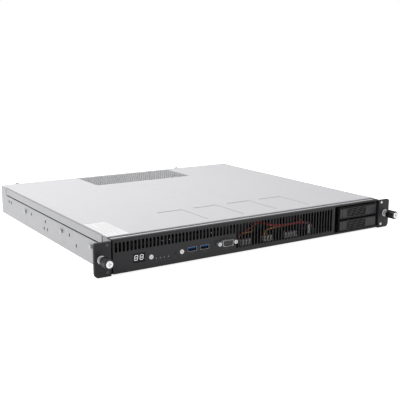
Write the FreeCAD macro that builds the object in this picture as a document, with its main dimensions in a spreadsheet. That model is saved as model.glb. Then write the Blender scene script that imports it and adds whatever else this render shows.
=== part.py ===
"""1U rack server, short-depth, built as a parametric FreeCAD document.

Frame: +X to the right seen from the front, +Y to the rear, +Z up, origin in the middle of the
chassis' underside. Every piece is laid out in front coordinates, with y counted back from the
front panel's face; as_node() then carries it to the origin.
"""
import FreeCAD
import Part
import math
import os
import re

import Sketcher
from FreeCAD import Placement, Rotation, Vector

DIMENSIONS = (
    # the rack and the outer case
    ("ear_reach", 22.35, "how far an ear stands out beside the case, 482.6 mm over both"),
    ("thumb_reach", 13.6, "thumbscrew axis beside the case, 465.1 mm from one to the other"),
    ("case_width", 437.9, "outer faces of the chassis"),
    ("case_depth", 401.6, "front panel face to rear wall face"),
    ("case_height", 44.3, "underside to top of the cover"),
    ("sheet", 1.0, "steel sheet of the chassis and cover"),
    ("play", 0.1, "gap between sheets that slide past each other"),
    ("floor_front", 6.5, "front edge of the floor pan behind the panel face"),
    ("front_flange_top", 42.4, "top of the chassis' front flange"),
    ("front_flange_depth", 30.0, "how far the front flange reaches back"),
    ("wall_step", 31.0, "height of the step where the side walls set in for the cover"),
    ("rear_corner", 21.6, "full-height stretch of the side walls at the rear"),
    # the cover
    ("cover_front", 12.5, "front edge of the cover behind the panel face"),
    ("cover_hem", 8.0, "depth of the cover's folded front hem"),
    ("flange_front", 26.8, "front end of the cover's side flanges"),
    ("flange_gap", 3.0, "gap between the side flanges and the rear corners"),
    ("flange_drop", 12.7, "height of the cover's side flanges"),
    ("pad_width", 40.4, "width of a pressed pad over a fan"),
    ("pad_front", 26.0, "front edge of the pads"),
    ("pad_length", 68.0, "length of the pads"),
    ("pad_depth", 0.6, "depth of the pads"),
    ("vent_width", 176.0, "width of the perforated field"),
    ("vent_front", 319.5, "front edge of the perforated field"),
    ("vent_length", 74.5, "length of the perforated field"),
    ("vent_hole_radius", 2.25, "radius of a vent hole"),
    ("vent_pitch", 7.0, "vent hole spacing"),
    ("tab_width", 14.0, "width of a rear cover tab"),
    ("tab_drop", 10.6, "height of a rear cover tab"),
    ("cover_screw_left_inset", 28.95, "left cover thumbscrew from the case's left face"),
    ("cover_screw_right_inset", 103.95, "right cover thumbscrew from the case's right face"),
    ("cover_screw_height", 39.6, "cover thumbscrew axis above the underside"),
    ("cover_screw_radius", 1.5, "radius of the cover thumbscrew's shank"),
    ("cover_screw_head", 5.0, "radius of the cover thumbscrew's head"),
    ("cover_screw_head_length", 7.5, "length of the cover thumbscrew's head"),
    # the front panel
    ("panel_side_gap", 0.55, "how far the front panel stays back from the case's side faces"),
    ("panel_bottom", 1.4, "height of the front panel's lower edge"),
    ("panel_height", 42.2, "height of the front panel"),
    ("panel_sheet", 1.2, "thickness of the front panel"),
    ("panel_return", 4.5, "depth of the panel's top return"),
    ("slot_pitch", 5.12, "pitch of the panel slots"),
    ("slot_width", 3.0, "width of a panel slot"),
    ("slot_count", 34, "number of short slots"),
    ("slot_inset", 5.45, "first short slot from the case's left face"),
    ("slot_low", 27.1, "lower end of the short slots"),
    ("slot_high", 39.4, "upper end of the slots"),
    ("grille_margin", 8.5, "plain panel between the last tall slot's middle and the drive bay"),
    ("grille_low", 7.2, "lower end of the tall slots"),
    # the ears and their screws
    ("ear_height", 42.0, "height of an ear"),
    ("ear_thickness", 4.0, "thickness of an ear"),
    ("ear_corner", 3.0, "radius of an ear's outer corners"),
    ("ear_gap", 0.6, "groove between panel and ear"),
    ("bracket_sheet", 2.0, "sheet of the brackets that carry the ears"),
    ("bracket_width", 8.0, "width of a bracket's front leg"),
    ("bracket_length", 34.0, "length of a bracket's side leg"),
    ("ear_screw_reach", 6.05, "small ear screws beside the case"),
    ("ear_screw_low", 5.7, "lower ear screw above the underside"),
    ("ear_screw_high", 38.3, "upper ear screw above the underside"),
    ("ear_screw_radius", 1.25, "shank radius of an ear screw"),
    ("ear_screw_head", 2.0, "head radius of an ear screw"),
    ("ear_screw_head_depth", 0.9, "head height of an ear screw"),
    ("thumb_height", 21.6, "thumbscrew axis above the underside"),
    ("ferrule_flange_radius", 6.0, "flange radius of a thumbscrew ferrule"),
    ("ferrule_flange", 1.2, "flange thickness of a thumbscrew ferrule"),
    ("ferrule_radius", 5.0, "sleeve radius of a thumbscrew ferrule"),
    ("ferrule_reach", 7.0, "how far the ferrule stands out of the ear"),
    ("ferrule_wall", 1.0, "wall of the ferrule"),
    ("knob_radius", 6.0, "radius of the thumbscrew knob"),
    ("knob_base", 7.1, "inner end of the knob ahead of the ear"),
    ("knob_end", 21.0, "outer end of the knob ahead of the ear"),
    ("knob_bore_depth", 6.5, "depth of the knob's bore over the ferrule"),
    ("screw_face_radius", 4.8, "radius of the screw's face in the knob"),
    ("screw_face_end", 22.1, "the screw's face ahead of the ear"),
    ("thumb_shank", 2.5, "radius of the thumbscrew's shank"),
    ("thumb_groove", 1.8, "radius at the groove of the thumbscrew"),
    ("ring_radius", 3.6, "radius of the snap ring on the shank"),
    ("ring_thickness", 0.8, "thickness of the snap ring"),
    ("fit_play", 0.08, "radial play of turning and sliding fits"),
    # the drive bay
    ("bay_width", 84.0, "width of the drive bay opening"),
    ("bay_inset", 1.95, "drive bay opening from the case's right face"),
    ("bay_low", 3.9, "lower edge of the drive bay opening"),
    ("bay_high", 40.4, "upper edge of the drive bay opening"),
    ("carrier_inset", 3.55, "carriers from the case's right face"),
    ("carrier_width", 74.2, "width of a drive carrier"),
    ("carrier_height", 15.2, "height of a drive carrier"),
    ("carrier_low", 4.5, "underside of the lower carrier"),
    ("carrier_pitch", 18.3, "carrier to carrier"),
    ("carrier_front", 0.4, "face of a carrier behind the panel face"),
    ("carrier_length", 118.0, "length of a carrier"),
    ("carrier_play", 0.3, "gap round a carrier in its bay"),
    ("carrier_sheet", 1.0, "walls of a carrier"),
    ("bezel_depth", 12.0, "depth of a carrier's front bezel"),
    ("lever_thickness", 5.0, "thickness of a carrier lever"),
    ("latch_width", 13.0, "width of a carrier left of its lever"),
    ("lever_pin", 0.8, "radius of a lever's pin"),
    ("lever_slot_count", 5, "louvres in a lever"),
    ("lever_slot_pitch", 2.5, "pitch of the louvres"),
    ("lever_slot", 1.1, "width of a louvre"),
    ("lever_grip", 22.9, "plain part of a lever right of its louvres"),
    ("latch_travel", 2.0, "travel of a carrier's release button"),
    ("drive_width", 69.85, "width of a 2.5 inch drive"),
    ("drive_length", 100.2, "length of a 2.5 inch drive"),
    ("drive_height", 9.5, "height of a 2.5 inch drive"),
    ("board", 1.6, "thickness of the circuit boards"),
    ("socket_depth", 4.0, "depth of the backplane's sockets"),
    ("socket_width", 34.0, "width of the backplane's sockets"),
    ("socket_height", 5.0, "height of the backplane's sockets"),
    # the front controls
    ("control_row", 15.0, "height of the power button, reset and identity button"),
    ("power_inset", 52.15, "power button from the case's left face"),
    ("identity_inset", 95.45, "identity button from the case's left face"),
    ("reset_inset", 85.35, "reset button from the case's left face"),
    ("button_radius", 2.9, "radius of the round buttons"),
    ("button_stand", 0.7, "how far the round buttons stand proud"),
    ("button_length", 9.0, "length of the round buttons"),
    ("button_collar", 0.9, "collar of a button behind the panel"),
    ("reset_radius", 1.1, "radius of the reset button"),
    ("reset_recess", 0.6, "how deep the reset button lies in its hole"),
    ("lamp_inset", 59.25, "first indicator lamp from the case's left face"),
    ("lamp_pitch", 5.6, "pitch of the indicator lamps"),
    ("lamp_count", 4, "number of indicator lamps"),
    ("lamp_height", 12.2, "indicator lamps above the underside"),
    ("lamp_radius", 0.8, "radius of an indicator lamp"),
    ("display_inset", 27.65, "display window from the case's left face"),
    ("display_width", 15.9, "width of the display window"),
    ("display_low", 11.5, "lower edge of the display window"),
    ("display_height", 10.7, "height of the display window"),
    ("usb_inset", 110.25, "left USB port from the case's left face"),
    ("usb_pitch", 18.5, "USB port to USB port"),
    ("usb_height", 16.3, "middle of the USB ports above the underside"),
    ("usb_width", 13.6, "outer width of a USB shell"),
    ("usb_tall", 5.9, "outer height of a USB shell"),
    ("usb_shell", 0.4, "wall of a USB shell"),
    ("usb_depth", 16.0, "depth of a USB shell"),
    ("usb_tongue", 1.9, "thickness of a USB tongue"),
    ("vga_inset", 162.15, "video port from the case's left face"),
    ("vga_height", 17.3, "middle of the video port above the underside"),
    ("vga_width", 16.4, "width of the video port's shell"),
    ("vga_tall", 8.0, "height of the video port's shell"),
    ("vga_reach", 5.0, "how far the video port stands out"),
    ("vga_nut_spacing", 25.0, "jack nut to jack nut"),
    ("vga_nut_radius", 2.6, "radius of a jack nut"),
    ("vga_nut_reach", 4.5, "how far a jack nut stands out"),
    ("vga_nut_hole", 1.3, "radius of the thread in a jack nut"),
    ("control_board_rise", 6.0, "how far the control board reaches above the lower end of the short slots"),
    ("control_board_gap", 7.0, "front control board behind the panel face"),
    # the fans
    ("fan_size", 40.0, "width and height of a fan"),
    ("fan_depth", 28.0, "depth of a fan"),
    ("fan_front", 45.0, "front face of the fans"),
    ("fan_pitch", 57.4, "fan to fan"),
    ("fan_count", 4, "number of case fans"),
    ("fan_bore", 18.8, "radius of a fan's air passage"),
    ("fan_hub", 9.5, "radius of a rotor's hub"),
    ("fan_tip_gap", 0.6, "gap between the blade tips and the frame"),
    ("fan_spoke", 2.4, "width of a frame's spokes"),
    ("blade_count", 7, "blades of a rotor"),
    ("fan_pin", 1.5, "radius of a fan's spindle"),
    ("cable_radius", 3.0, "radius of a power cable in its sleeve"),
    ("plug_width", 10.0, "width of the system board's power plug"),
    ("plug_length", 52.0, "length of the system board's power plug"),
    ("plug_height", 12.0, "height of the system board's power plug"),
    ("fan_board_front", 9.0, "front edge of the fan board"),
    ("fan_board_depth", 26.0, "depth of the fan board"),
    ("fan_board_gap", 15.2, "fan board to the drive carriers"),
    ("fan_board_width", 172.0, "width of the fan board"),
    ("header_first_inset", 5.5, "header of the fourth fan cable from the fan board's left edge"),
    ("header_second_inset", 21.0, "header of the first fan cable from the fan board's left edge"),
    ("header_third_inset", 64.0, "header of the second fan cable from the fan board's left edge"),
    ("header_fourth_inset", 112.0, "spare header from the fan board's left edge"),
    ("header_fifth_inset", 147.0, "header of the third fan cable from the fan board's left edge"),
    ("post_inset", 139.0, "spacer post from the fan board's left edge"),
    ("post_height", 13.4, "height of the spacer post on the fan board"),
    ("post_radius", 1.5, "radius of the spacer post"),
    ("header_width", 10.2, "width of a fan header"),
    ("header_height", 7.5, "height of a fan header"),
    ("header_depth", 5.8, "depth of a fan header"),
    ("wire_radius", 0.8, "radius of a fan wire"),
    # the system board and what sits on it
    ("standoff", 6.0, "height of the board standoffs"),
    ("standoff_radius", 3.0, "radius of the board standoffs"),
    ("system_gap", 10.05, "system board to the power supply"),
    ("system_width", 203.0, "width of the system board"),
    ("system_length", 244.0, "length of the system board"),
    ("system_back_gap", 5.0, "gap between system board and rear wall"),
    ("sink_size", 88.0, "length and width of the processor's heat sink"),
    ("sink_height", 27.0, "height of the heat sink"),
    ("sink_base", 5.0, "base of the heat sink"),
    ("sink_inset", 88.0, "middle of the heat sink from the system board's left edge"),
    ("sink_back", 290.0, "middle of the heat sink behind the panel face"),
    ("fin", 1.2, "thickness of a fin"),
    ("fin_count", 22, "number of fins"),
    ("package_height", 4.5, "height of the processor and its socket"),
    ("package_size", 42.0, "length and width of the processor's socket"),
    ("memory_count", 4, "memory modules"),
    ("memory_pitch", 9.4, "memory module to memory module"),
    ("memory_inset", 150.0, "first memory module from the system board's left edge"),
    ("memory_front", 180.0, "front end of the memory modules"),
    ("memory_length", 133.35, "length of a memory module"),
    ("memory_height", 30.0, "height of a memory module"),
    ("memory_thickness", 3.8, "thickness of a memory module with its chips"),
    ("memory_socket", 6.5, "width of a memory socket"),
    ("memory_socket_height", 5.5, "height of a memory socket"),
    # the rear
    ("shield_inset", 8.0, "port plate from the system board's left edge"),
    ("shield_width", 158.8, "width of the port plate"),
    ("shield_low", 3.0, "lower edge of the port plate"),
    ("shield_height", 37.0, "height of the port plate"),
    ("port_depth", 20.0, "depth of the rear ports"),
    ("port_reach", 0.6, "how far the rear ports stand out of the rear wall"),
    ("port_play", 0.3, "gap round a port in its plate"),
    ("lan_width", 15.9, "width of a network port"),
    ("lan_tall", 13.4, "height of a network port"),
    ("lan_cavity_width", 11.7, "width of a network port's socket"),
    ("lan_cavity_tall", 8.0, "height of a network port's socket"),
    ("lan_cavity_depth", 13.0, "depth of a network port's socket"),
    ("lan_inset", 58.0, "first network port from the system board's left edge"),
    ("lan_pitch", 20.0, "network port to network port"),
    ("rear_usb_inset", 36.0, "rear USB stack from the system board's left edge"),
    ("rear_usb_tall", 15.6, "height of the rear USB stack"),
    ("rear_vga_inset", 113.0, "rear video port from the system board's left edge"),
    ("slot_cover_inset", 22.95, "expansion slot from the case's left face"),
    ("slot_cover_gap", 14.0, "expansion slot to the port plate"),
    ("slot_cover_low", 11.0, "lower edge of the expansion slot"),
    ("slot_cover_height", 18.4, "height of the expansion slot"),
    ("riser_length", 110.0, "length of the riser board"),
    ("riser_height", 24.0, "height of the riser board"),
    ("supply_width", 81.5, "width of the power supply"),
    ("supply_height", 40.5, "height of the power supply"),
    ("supply_length", 150.0, "length of the power supply"),
    ("supply_gap", 1.4, "gap between power supply and side wall"),
    ("supply_foot", 0.2, "gap under the power supply"),
    ("inlet_across", 22.0, "middle of the mains inlet from the supply's right side"),
    ("inlet_width", 24.6, "width of the inlet's well"),
    ("inlet_tall", 16.6, "height of the inlet's well"),
    ("inlet_depth", 18.0, "depth of the inlet's well"),
    ("inlet_wall", 2.0, "wall of the inlet"),
    ("supply_fan_across", 23.0, "middle of the supply's fan from its left side"),
    ("supply_fan_depth", 20.0, "depth of the supply's fan"),
    # the side pins and holes
    ("pin_height", 22.4, "shoulder pins above the underside"),
    ("pin_first", 56.4, "first shoulder pin behind the panel face"),
    ("pin_second", 149.8, "second shoulder pin"),
    ("pin_third", 288.5, "third shoulder pin"),
    ("pin_neck", 2.0, "neck radius of a shoulder pin"),
    ("pin_neck_length", 1.8, "neck length of a shoulder pin"),
    ("pin_head", 3.4, "head radius of a shoulder pin"),
    ("pin_head_length", 1.2, "head length of a shoulder pin"),
    ("side_hole_width", 1.5, "width of the small holes in the side walls"),
    ("side_hole_height", 3.0, "height of the small holes in the side walls"),
)

# Small lance holes in the side walls: distance behind the panel face, height above the underside.
SIDE_HOLES = ((103, 12.4), (124.6, 22.1), (202.7, 12.4), (215.4, 12.1), (209.6, 22.7),
              (265.3, 22.9), (354.4, 23.4), (364.9, 23.9))

# Places and widths that follow from the sizes above. What sits on the left is measured from the
# case's left face, what sits on the right from its right face, and the ports from their board.
FOLLOWING = {
    "rack_width": "(case_width + 2*ear_reach)",
    "rack_screw_spacing": "(case_width + 2*thumb_reach)",
    "ear_screw_across": "(case_width/2 + ear_screw_reach)",
    "cover_screw_left": "(cover_screw_left_inset - case_width/2)",
    "cover_screw_right": "(case_width/2 - cover_screw_right_inset)",
    "panel_width": "(case_width - 2*panel_side_gap)",
    "slot_first": "(slot_inset - case_width/2)",
    "grille_first": "(slot_first + slot_count*slot_pitch)",
    "grille_count": "(floor((bay_left - grille_margin - grille_first)/slot_pitch) + 1)",
    "bay_right": "(case_width/2 - bay_inset)",
    "bay_left": "(bay_right - bay_width)",
    "carrier_right": "(case_width/2 - carrier_inset)",
    "carrier_left": "(carrier_right - carrier_width)",
    "lever_left": "(carrier_left + latch_width)",
    "lever_slot_end": "(carrier_right - lever_grip)",
    "power_across": "(power_inset - case_width/2)",
    "identity_across": "(identity_inset - case_width/2)",
    "reset_across": "(reset_inset - case_width/2)",
    "lamp_first": "(lamp_inset - case_width/2)",
    "display_left": "(display_inset - case_width/2)",
    "usb_first": "(usb_inset - case_width/2)",
    "usb_second": "(usb_first + usb_pitch)",
    "vga_across": "(vga_inset - case_width/2)",
    "fan_board_left": "(carrier_left - fan_board_gap - fan_board_width)",
    "supply_right": "(case_width/2 - sheet - supply_gap)",
    "supply_left": "(supply_right - supply_width)",
    "system_right": "(supply_left - system_gap)",
    "system_left": "(system_right - system_width)",
    "sink_across": "(system_left + sink_inset)",
    "memory_first": "(system_left + memory_inset)",
    "shield_left": "(system_left + shield_inset)",
    "lan_first": "(system_left + lan_inset)",
    "lan_second": "(lan_first + lan_pitch)",
    "rear_usb_across": "(system_left + rear_usb_inset)",
    "rear_vga_across": "(system_left + rear_vga_inset)",
    "slot_cover_left": "(slot_cover_inset - case_width/2)",
    "slot_cover_width": "(shield_left - slot_cover_gap - slot_cover_left)",
}

document = FreeCAD.newDocument("RackServer")
sheet = document.addObject("Spreadsheet::Sheet", "Dimensions")
for row, (alias, value, meaning) in enumerate(DIMENSIONS, 1):
    sheet.set(f"A{row}", meaning)
    sheet.set(f"B{row}", str(value))
    sheet.setAlias(f"B{row}", alias)
document.recompute()

ALIASES = {alias for alias, value, meaning in DIMENSIONS}
nodes = []


# ---------------------------------------------------------------- small tools of the bench
def size(name):
    """The value of a driving dimension, or of a place that follows from them."""
    value = sheet.evalExpression(formula(name))
    return float(getattr(value, "Value", value))


def count(alias):
    """A driving dimension that is a number of copies."""
    return int(round(size(alias)))


def formula(text):
    """An expression on the sheet, from a formula written with the plain aliases and places."""
    def on_sheet(match):
        word = match[0]
        if word in FOLLOWING:
            return formula(FOLLOWING[word])
        return f"Dimensions.{word}" if word in ALIASES else word

    return re.sub(r"(?<![A-Za-z_.])[a-z_]+", on_sheet, str(text))


def bind(thing, **properties):
    """Bind a thing's properties to formulas; a double underscore stands for a dot."""
    for name, text in properties.items():
        thing.setExpression(name.replace("__", "."), formula(text))
    return thing


def place(thing, x=0, y=0, z=0):
    """Bind a thing's place to three formulas."""
    return bind(thing, Placement__Base__x=x, Placement__Base__y=y, Placement__Base__z=z)


def block(x, y, z, side=1):
    """A box between pairs of formulas; side -1 makes the one mirrored in the middle plane."""
    thing = document.addObject("Part::Box", "Block")
    low, high = x if side > 0 else (f"-({x[1]})", f"-({x[0]})")
    bind(thing, Length=f"({high}) - ({low})", Width=f"({y[1]}) - ({y[0]})", Height=f"({z[1]}) - ({z[0]})")
    return place(thing, low, y[0], z[0])


TURNS = {"x": Rotation(Vector(0, 1, 0), 90), "y": Rotation(Vector(1, 0, 0), -90), "z": Rotation()}


def rod(radius, length, x, y, z, axis="y"):
    """A cylinder that starts at a point and runs along an axis."""
    thing = document.addObject("Part::Cylinder", "Rod")
    thing.Placement = Placement(Vector(), TURNS[axis])
    bind(thing, Radius=radius, Height=length)
    return place(thing, x, y, z)


def fused(*pieces):
    """One solid made of pieces that touch."""
    thing = document.addObject("Part::MultiFuse", "Fused")
    thing.Shapes = list(pieces)
    thing.Refine = True
    return thing


def cut(base, *tools):
    """A piece with others taken away from it."""
    thing = document.addObject("Part::Cut", "Cut")
    thing.Base = base
    thing.Tool = tools[0] if len(tools) == 1 else fused(*tools)
    thing.Refine = True
    return thing


def rounded(base, radius, chosen):
    """Fillet the edges of a piece that the chosen test picks; the radius is a formula."""
    document.recompute()
    thing = document.addObject("Part::Fillet", "Rounded")
    thing.Base = base
    value = size(radius)
    picked = [number for number, edge in enumerate(base.Shape.Edges, 1) if chosen(edge)]
    thing.Edges = [(number, value, value) for number in picked]
    return thing


def upright(edge):
    """Whether an edge is a straight line along Z."""
    first, last = edge.Vertexes[0].Point, edge.Vertexes[-1].Point
    return abs(first.x - last.x) + abs(first.y - last.y) < 1e-6


def as_node(label, *pieces):
    """Gather one node's separate solids and carry them from front coordinates to the origin."""
    thing = document.addObject("Part::Compound", "Node")
    thing.Links = list(pieces)
    thing.Label = label
    place(thing, 0, "-case_depth/2", 0)
    nodes.append(thing)
    return thing


def body_as_node(label, body):
    """Hand in a PartDesign body as a node."""
    body.Label = label
    place(body, 0, "-case_depth/2", 0)
    nodes.append(body)
    return body


# ---------------------------------------------------------------- sketches on a body's planes
def new_body(name):
    return document.addObject("PartDesign::Body", name)


def sketch_on(body, role, offset="0"):
    """A sketch on one of the body's own planes, moved along its normal by a formula."""
    sketch = body.newObject("Sketcher::SketchObject", "Sketch")
    plane = next(item for item in body.Origin.OriginFeatures if item.Role == role)
    sketch.AttachmentSupport = [(plane, "")]
    sketch.MapMode = "FlatFace"
    bind(sketch, AttachmentOffset__Base__z=offset)
    return sketch


def dimension(sketch, constraint, text):
    """Add a dimension to a sketch and bind it to a formula."""
    number = sketch.addConstraint(constraint)
    sketch.setExpression(f"Constraints[{number}]", formula(text))


def sketch_box(sketch, x, y):
    """Draw a rectangle between two pairs of formulas."""
    left, right, low, high = size(x[0]), size(x[1]), size(y[0]), size(y[1])
    corners = (Vector(left, low), Vector(right, low), Vector(right, high), Vector(left, high))
    first = len(sketch.Geometry)
    for number in range(4):
        sketch.addGeometry(Part.LineSegment(corners[number], corners[(number + 1) % 4]))
    for number in range(4):
        following = first + (number + 1) % 4
        sketch.addConstraint(Sketcher.Constraint("Coincident", first + number, 2, following, 1))
    for number, kind in enumerate(("Horizontal", "Vertical", "Horizontal", "Vertical")):
        sketch.addConstraint(Sketcher.Constraint(kind, first + number))
    dimension(sketch, Sketcher.Constraint("DistanceX", -1, 1, first, 1, left), x[0])
    dimension(sketch, Sketcher.Constraint("DistanceY", -1, 1, first, 1, low), y[0])
    dimension(sketch, Sketcher.Constraint("DistanceX", first, 1, first, 2, right - left),
              f"({x[1]}) - ({x[0]})")
    dimension(sketch, Sketcher.Constraint("DistanceY", first + 1, 1, first + 1, 2, high - low),
              f"({y[1]}) - ({y[0]})")


def sketch_circle(sketch, radius, x, y):
    """Draw a circle whose radius and centre are formulas."""
    centre = Vector(size(x), size(y))
    number = sketch.addGeometry(Part.Circle(centre, Vector(0, 0, 1), size(radius)))
    dimension(sketch, Sketcher.Constraint("Radius", number, size(radius)), radius)
    dimension(sketch, Sketcher.Constraint("DistanceX", -1, 1, number, 3, centre.x), x)
    dimension(sketch, Sketcher.Constraint("DistanceY", -1, 1, number, 3, centre.y), y)


def sketch_slot(sketch, radius, x, low, high):
    """Draw an upright slot with round ends between two heights."""
    centre, reach = size(x), size(radius)
    bottom, top = size(low) + reach, size(high) - reach
    turn = math.pi
    first = sketch.addGeometry(Part.LineSegment(Vector(centre + reach, bottom), Vector(centre + reach, top)))
    over = Part.Circle(Vector(centre, top), Vector(0, 0, 1), reach)
    sketch.addGeometry(Part.ArcOfCircle(over, 0, turn))
    sketch.addGeometry(Part.LineSegment(Vector(centre - reach, top), Vector(centre - reach, bottom)))
    under = Part.Circle(Vector(centre, bottom), Vector(0, 0, 1), reach)
    sketch.addGeometry(Part.ArcOfCircle(under, turn, 2 * turn))
    for number in range(4):
        following = first + (number + 1) % 4
        sketch.addConstraint(Sketcher.Constraint("Tangent", first + number, 2, following, 1))
    sketch.addConstraint(Sketcher.Constraint("Vertical", first))
    dimension(sketch, Sketcher.Constraint("Radius", first + 1, reach), radius)
    dimension(sketch, Sketcher.Constraint("DistanceX", -1, 1, first + 1, 3, centre), x)
    dimension(sketch, Sketcher.Constraint("DistanceY", -1, 1, first + 1, 3, top), f"({high}) - ({radius})")
    dimension(sketch, Sketcher.Constraint("DistanceY", -1, 1, first + 3, 3, bottom), f"({low}) + ({radius})")


def pad(body, sketch, length, backwards=False):
    feature = body.newObject("PartDesign::Pad", "Pad")
    feature.Profile = sketch
    feature.Reversed = backwards
    bind(feature, Length=length)
    document.recompute()
    return feature


def pocket(body, sketch, depth):
    """Cut a sketch into the body, against the sketch's normal, and make sure that it cuts."""
    before = body.Shape.Volume
    feature = body.newObject("PartDesign::Pocket", "Pocket")
    feature.Profile = sketch
    bind(feature, Length=depth)
    document.recompute()
    if not body.Shape.Volume < before:
        raise RuntimeError(f"a pocket of {body.Label} cuts nothing")
    return feature


def row_of(body, feature, sketch, pitch, copies):
    """Repeat a feature along the sketch's horizontal axis."""
    pattern = body.newObject("PartDesign::LinearPattern", "Row")
    pattern.Originals = [feature]
    pattern.Direction = (sketch, ["H_Axis"])
    bind(pattern, Length=f"({pitch}) * ({copies} - 1)", Occurrences=copies)
    body.Tip = pattern
    document.recompute()
    return pattern


def ring_of(body, feature, sketch, copies):
    """Repeat a feature round the sketch's normal."""
    pattern = body.newObject("PartDesign::PolarPattern", "Ring")
    pattern.Originals = [feature]
    pattern.Axis = (sketch, ["N_Axis"])
    pattern.Angle = 360
    bind(pattern, Occurrences=copies)
    body.Tip = pattern
    document.recompute()
    return pattern


# ---------------------------------------------------------------- places that several pieces share
CASE = "case_width/2"
INNER = "(case_width/2 - sheet)"
SET_IN = "(case_width/2 - sheet - play)"
COVER_UNDER = "(case_height - sheet)"
REAR = "(case_depth - sheet)"
PANEL_TOP = "(panel_bottom + panel_height)"
EAR_INNER = "(panel_width/2 + ear_gap)"
THUMB = "rack_screw_spacing/2"
CARRIERS = ("lower", "upper")
BOARD_UNDER = "(sheet + standoff)"
BOARD_TOP = "(sheet + standoff + board)"
SYSTEM_BACK = "(case_depth - sheet - system_back_gap)"
SUPPLY_LOW = "(sheet + supply_foot)"
SUPPLY_HIGH = "(sheet + supply_foot + supply_height)"
SUPPLY_BACK = "(case_depth - sheet)"
SUPPLY_MIDDLE = f"({SUPPLY_LOW} + supply_height/2)"
INLET = f"(supply_right - inlet_across)"
SUPPLY_FAN = f"(supply_left + supply_fan_across)"
COVER_SCREWS = {"left": "cover_screw_left", "right": "cover_screw_right"}
SIDES = {"left": -1, "right": 1}


def carrier_low(level):
    """Underside of the lower (0) or the upper (1) drive carrier."""
    return f"(carrier_low + {level}*carrier_pitch)"


def fan_across(number):
    """Middle of one of the case fans, which stand evenly about the middle plane."""
    return f"((({number}) - (fan_count - 1)/2) * fan_pitch)"


def memory_across(number):
    return f"(memory_first + {number}*memory_pitch)"


# ---------------------------------------------------------------- the chassis
def chassis_tray():
    """Folded steel tray: floor, stepped side walls, front flange and rear wall with its openings."""
    pieces = [block((f"-{CASE}", CASE), ("floor_front", "case_depth"), (0, "sheet")),
              block((f"-{CASE}", CASE), (REAR, "case_depth"), (0, f"{COVER_UNDER} - play")),
              block((f"-{SET_IN}", SET_IN), ("panel_return + play", "front_flange_depth"),
                    ("front_flange_top - sheet", "front_flange_top"))]
    for side in SIDES.values():
        corner = "case_depth - rear_corner"
        pieces += [block((INNER, CASE), ("ear_thickness", "case_depth"), (0, "wall_step"), side),
                   block((f"{SET_IN} - sheet", CASE), ("ear_thickness", "case_depth"),
                         ("wall_step - sheet", "wall_step"), side),
                   block((f"{SET_IN} - sheet", SET_IN), ("ear_thickness", corner),
                         ("wall_step - sheet", "front_flange_top"), side),
                   block((INNER, CASE), (corner, "case_depth"), (0, f"{COVER_UNDER} - play"), side),
                   block((f"{SET_IN} - sheet", CASE), (corner, f"{corner} + sheet"),
                         ("wall_step - sheet", f"{COVER_UNDER} - play"), side)]
    through = (f"{REAR} - play", "case_depth + play")
    openings = [block(("shield_left", "shield_left + shield_width"), through,
                      ("shield_low", "shield_low + shield_height")),
                block(("slot_cover_left", "slot_cover_left + slot_cover_width"), through,
                      ("slot_cover_low", "slot_cover_low + slot_cover_height")),
                block((f"supply_left + sheet", f"supply_right - sheet"), through,
                      (f"{SUPPLY_LOW} + sheet", f"{SUPPLY_HIGH} - sheet"))]
    openings += [rod("cover_screw_radius", "sheet + 2*play", across, through[0], "cover_screw_height")
                 for across in COVER_SCREWS.values()]
    for side in SIDES.values():
        for back, height in SIDE_HOLES:
            openings.append(block((f"{INNER} - play", f"{CASE} + play"),
                                  (f"{back} - side_hole_width/2", f"{back} + side_hole_width/2"),
                                  (f"{height} - side_hole_height/2", f"{height} + side_hole_height/2"), side))
        for back in ("pin_first", "pin_second", "pin_third"):
            openings.append(rod("pin_neck", "sheet + 2*play",
                                f"{INNER} - play" if side > 0 else f"-({CASE} + play)", back, "pin_height", "x"))
    as_node("chassis_tray", cut(fused(*pieces), *openings))


def cover_shell():
    """Lift-off lid: flat top with pressed pads and a perforated field, side flanges, two rear tabs."""
    top = block((f"-{CASE}", CASE), ("cover_front", "case_depth"), (COVER_UNDER, "case_height"))
    shell = [top, block((f"-{SET_IN}", SET_IN), ("cover_front", "cover_front + cover_hem"),
                        ("front_flange_top + play", COVER_UNDER))]
    for side in SIDES.values():
        shell.append(block((INNER, CASE), ("flange_front", "case_depth - rear_corner - flange_gap"),
                           ("case_height - flange_drop", "case_height"), side))
    taken = []
    for number in range(count("fan_count")):
        across = (f"{fan_across(number)} - pad_width/2", f"{fan_across(number)} + pad_width/2")
        back = ("pad_front", "pad_front + pad_length")
        shell.append(block(across, back, (f"{COVER_UNDER} - pad_depth", COVER_UNDER)))
        taken.append(block(across, back, ("case_height - pad_depth", "case_height + play")))
    for across in COVER_SCREWS.values():
        tab = block((f"{across} - tab_width/2", f"{across} + tab_width/2"),
                    ("case_depth + play", "case_depth + play + sheet"), ("case_height - tab_drop", "case_height"))
        bridge = block((f"{across} - tab_width/2", f"{across} + tab_width/2"),
                       (REAR, "case_depth + play + sheet"), (COVER_UNDER, "case_height"))
        shell += [tab, bridge]
        slot = (f"{across} - cover_screw_radius - play", f"{across} + cover_screw_radius + play")
        taken.append(block(slot, ("case_depth", "case_depth + 2*play + sheet"),
                           ("case_height - tab_drop - play", "cover_screw_height")))
        taken.append(rod("cover_screw_radius + play", "sheet + 2*play", across, "case_depth",
                         "cover_screw_height"))
    taken.append(block(("-vent_width/2", "vent_width/2"), ("vent_front", "vent_front + vent_length"),
                       (f"{COVER_UNDER} - play", "case_height + play")))
    as_node("cover_shell", fused(cut(fused(*shell), *taken), vent_field()))


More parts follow.
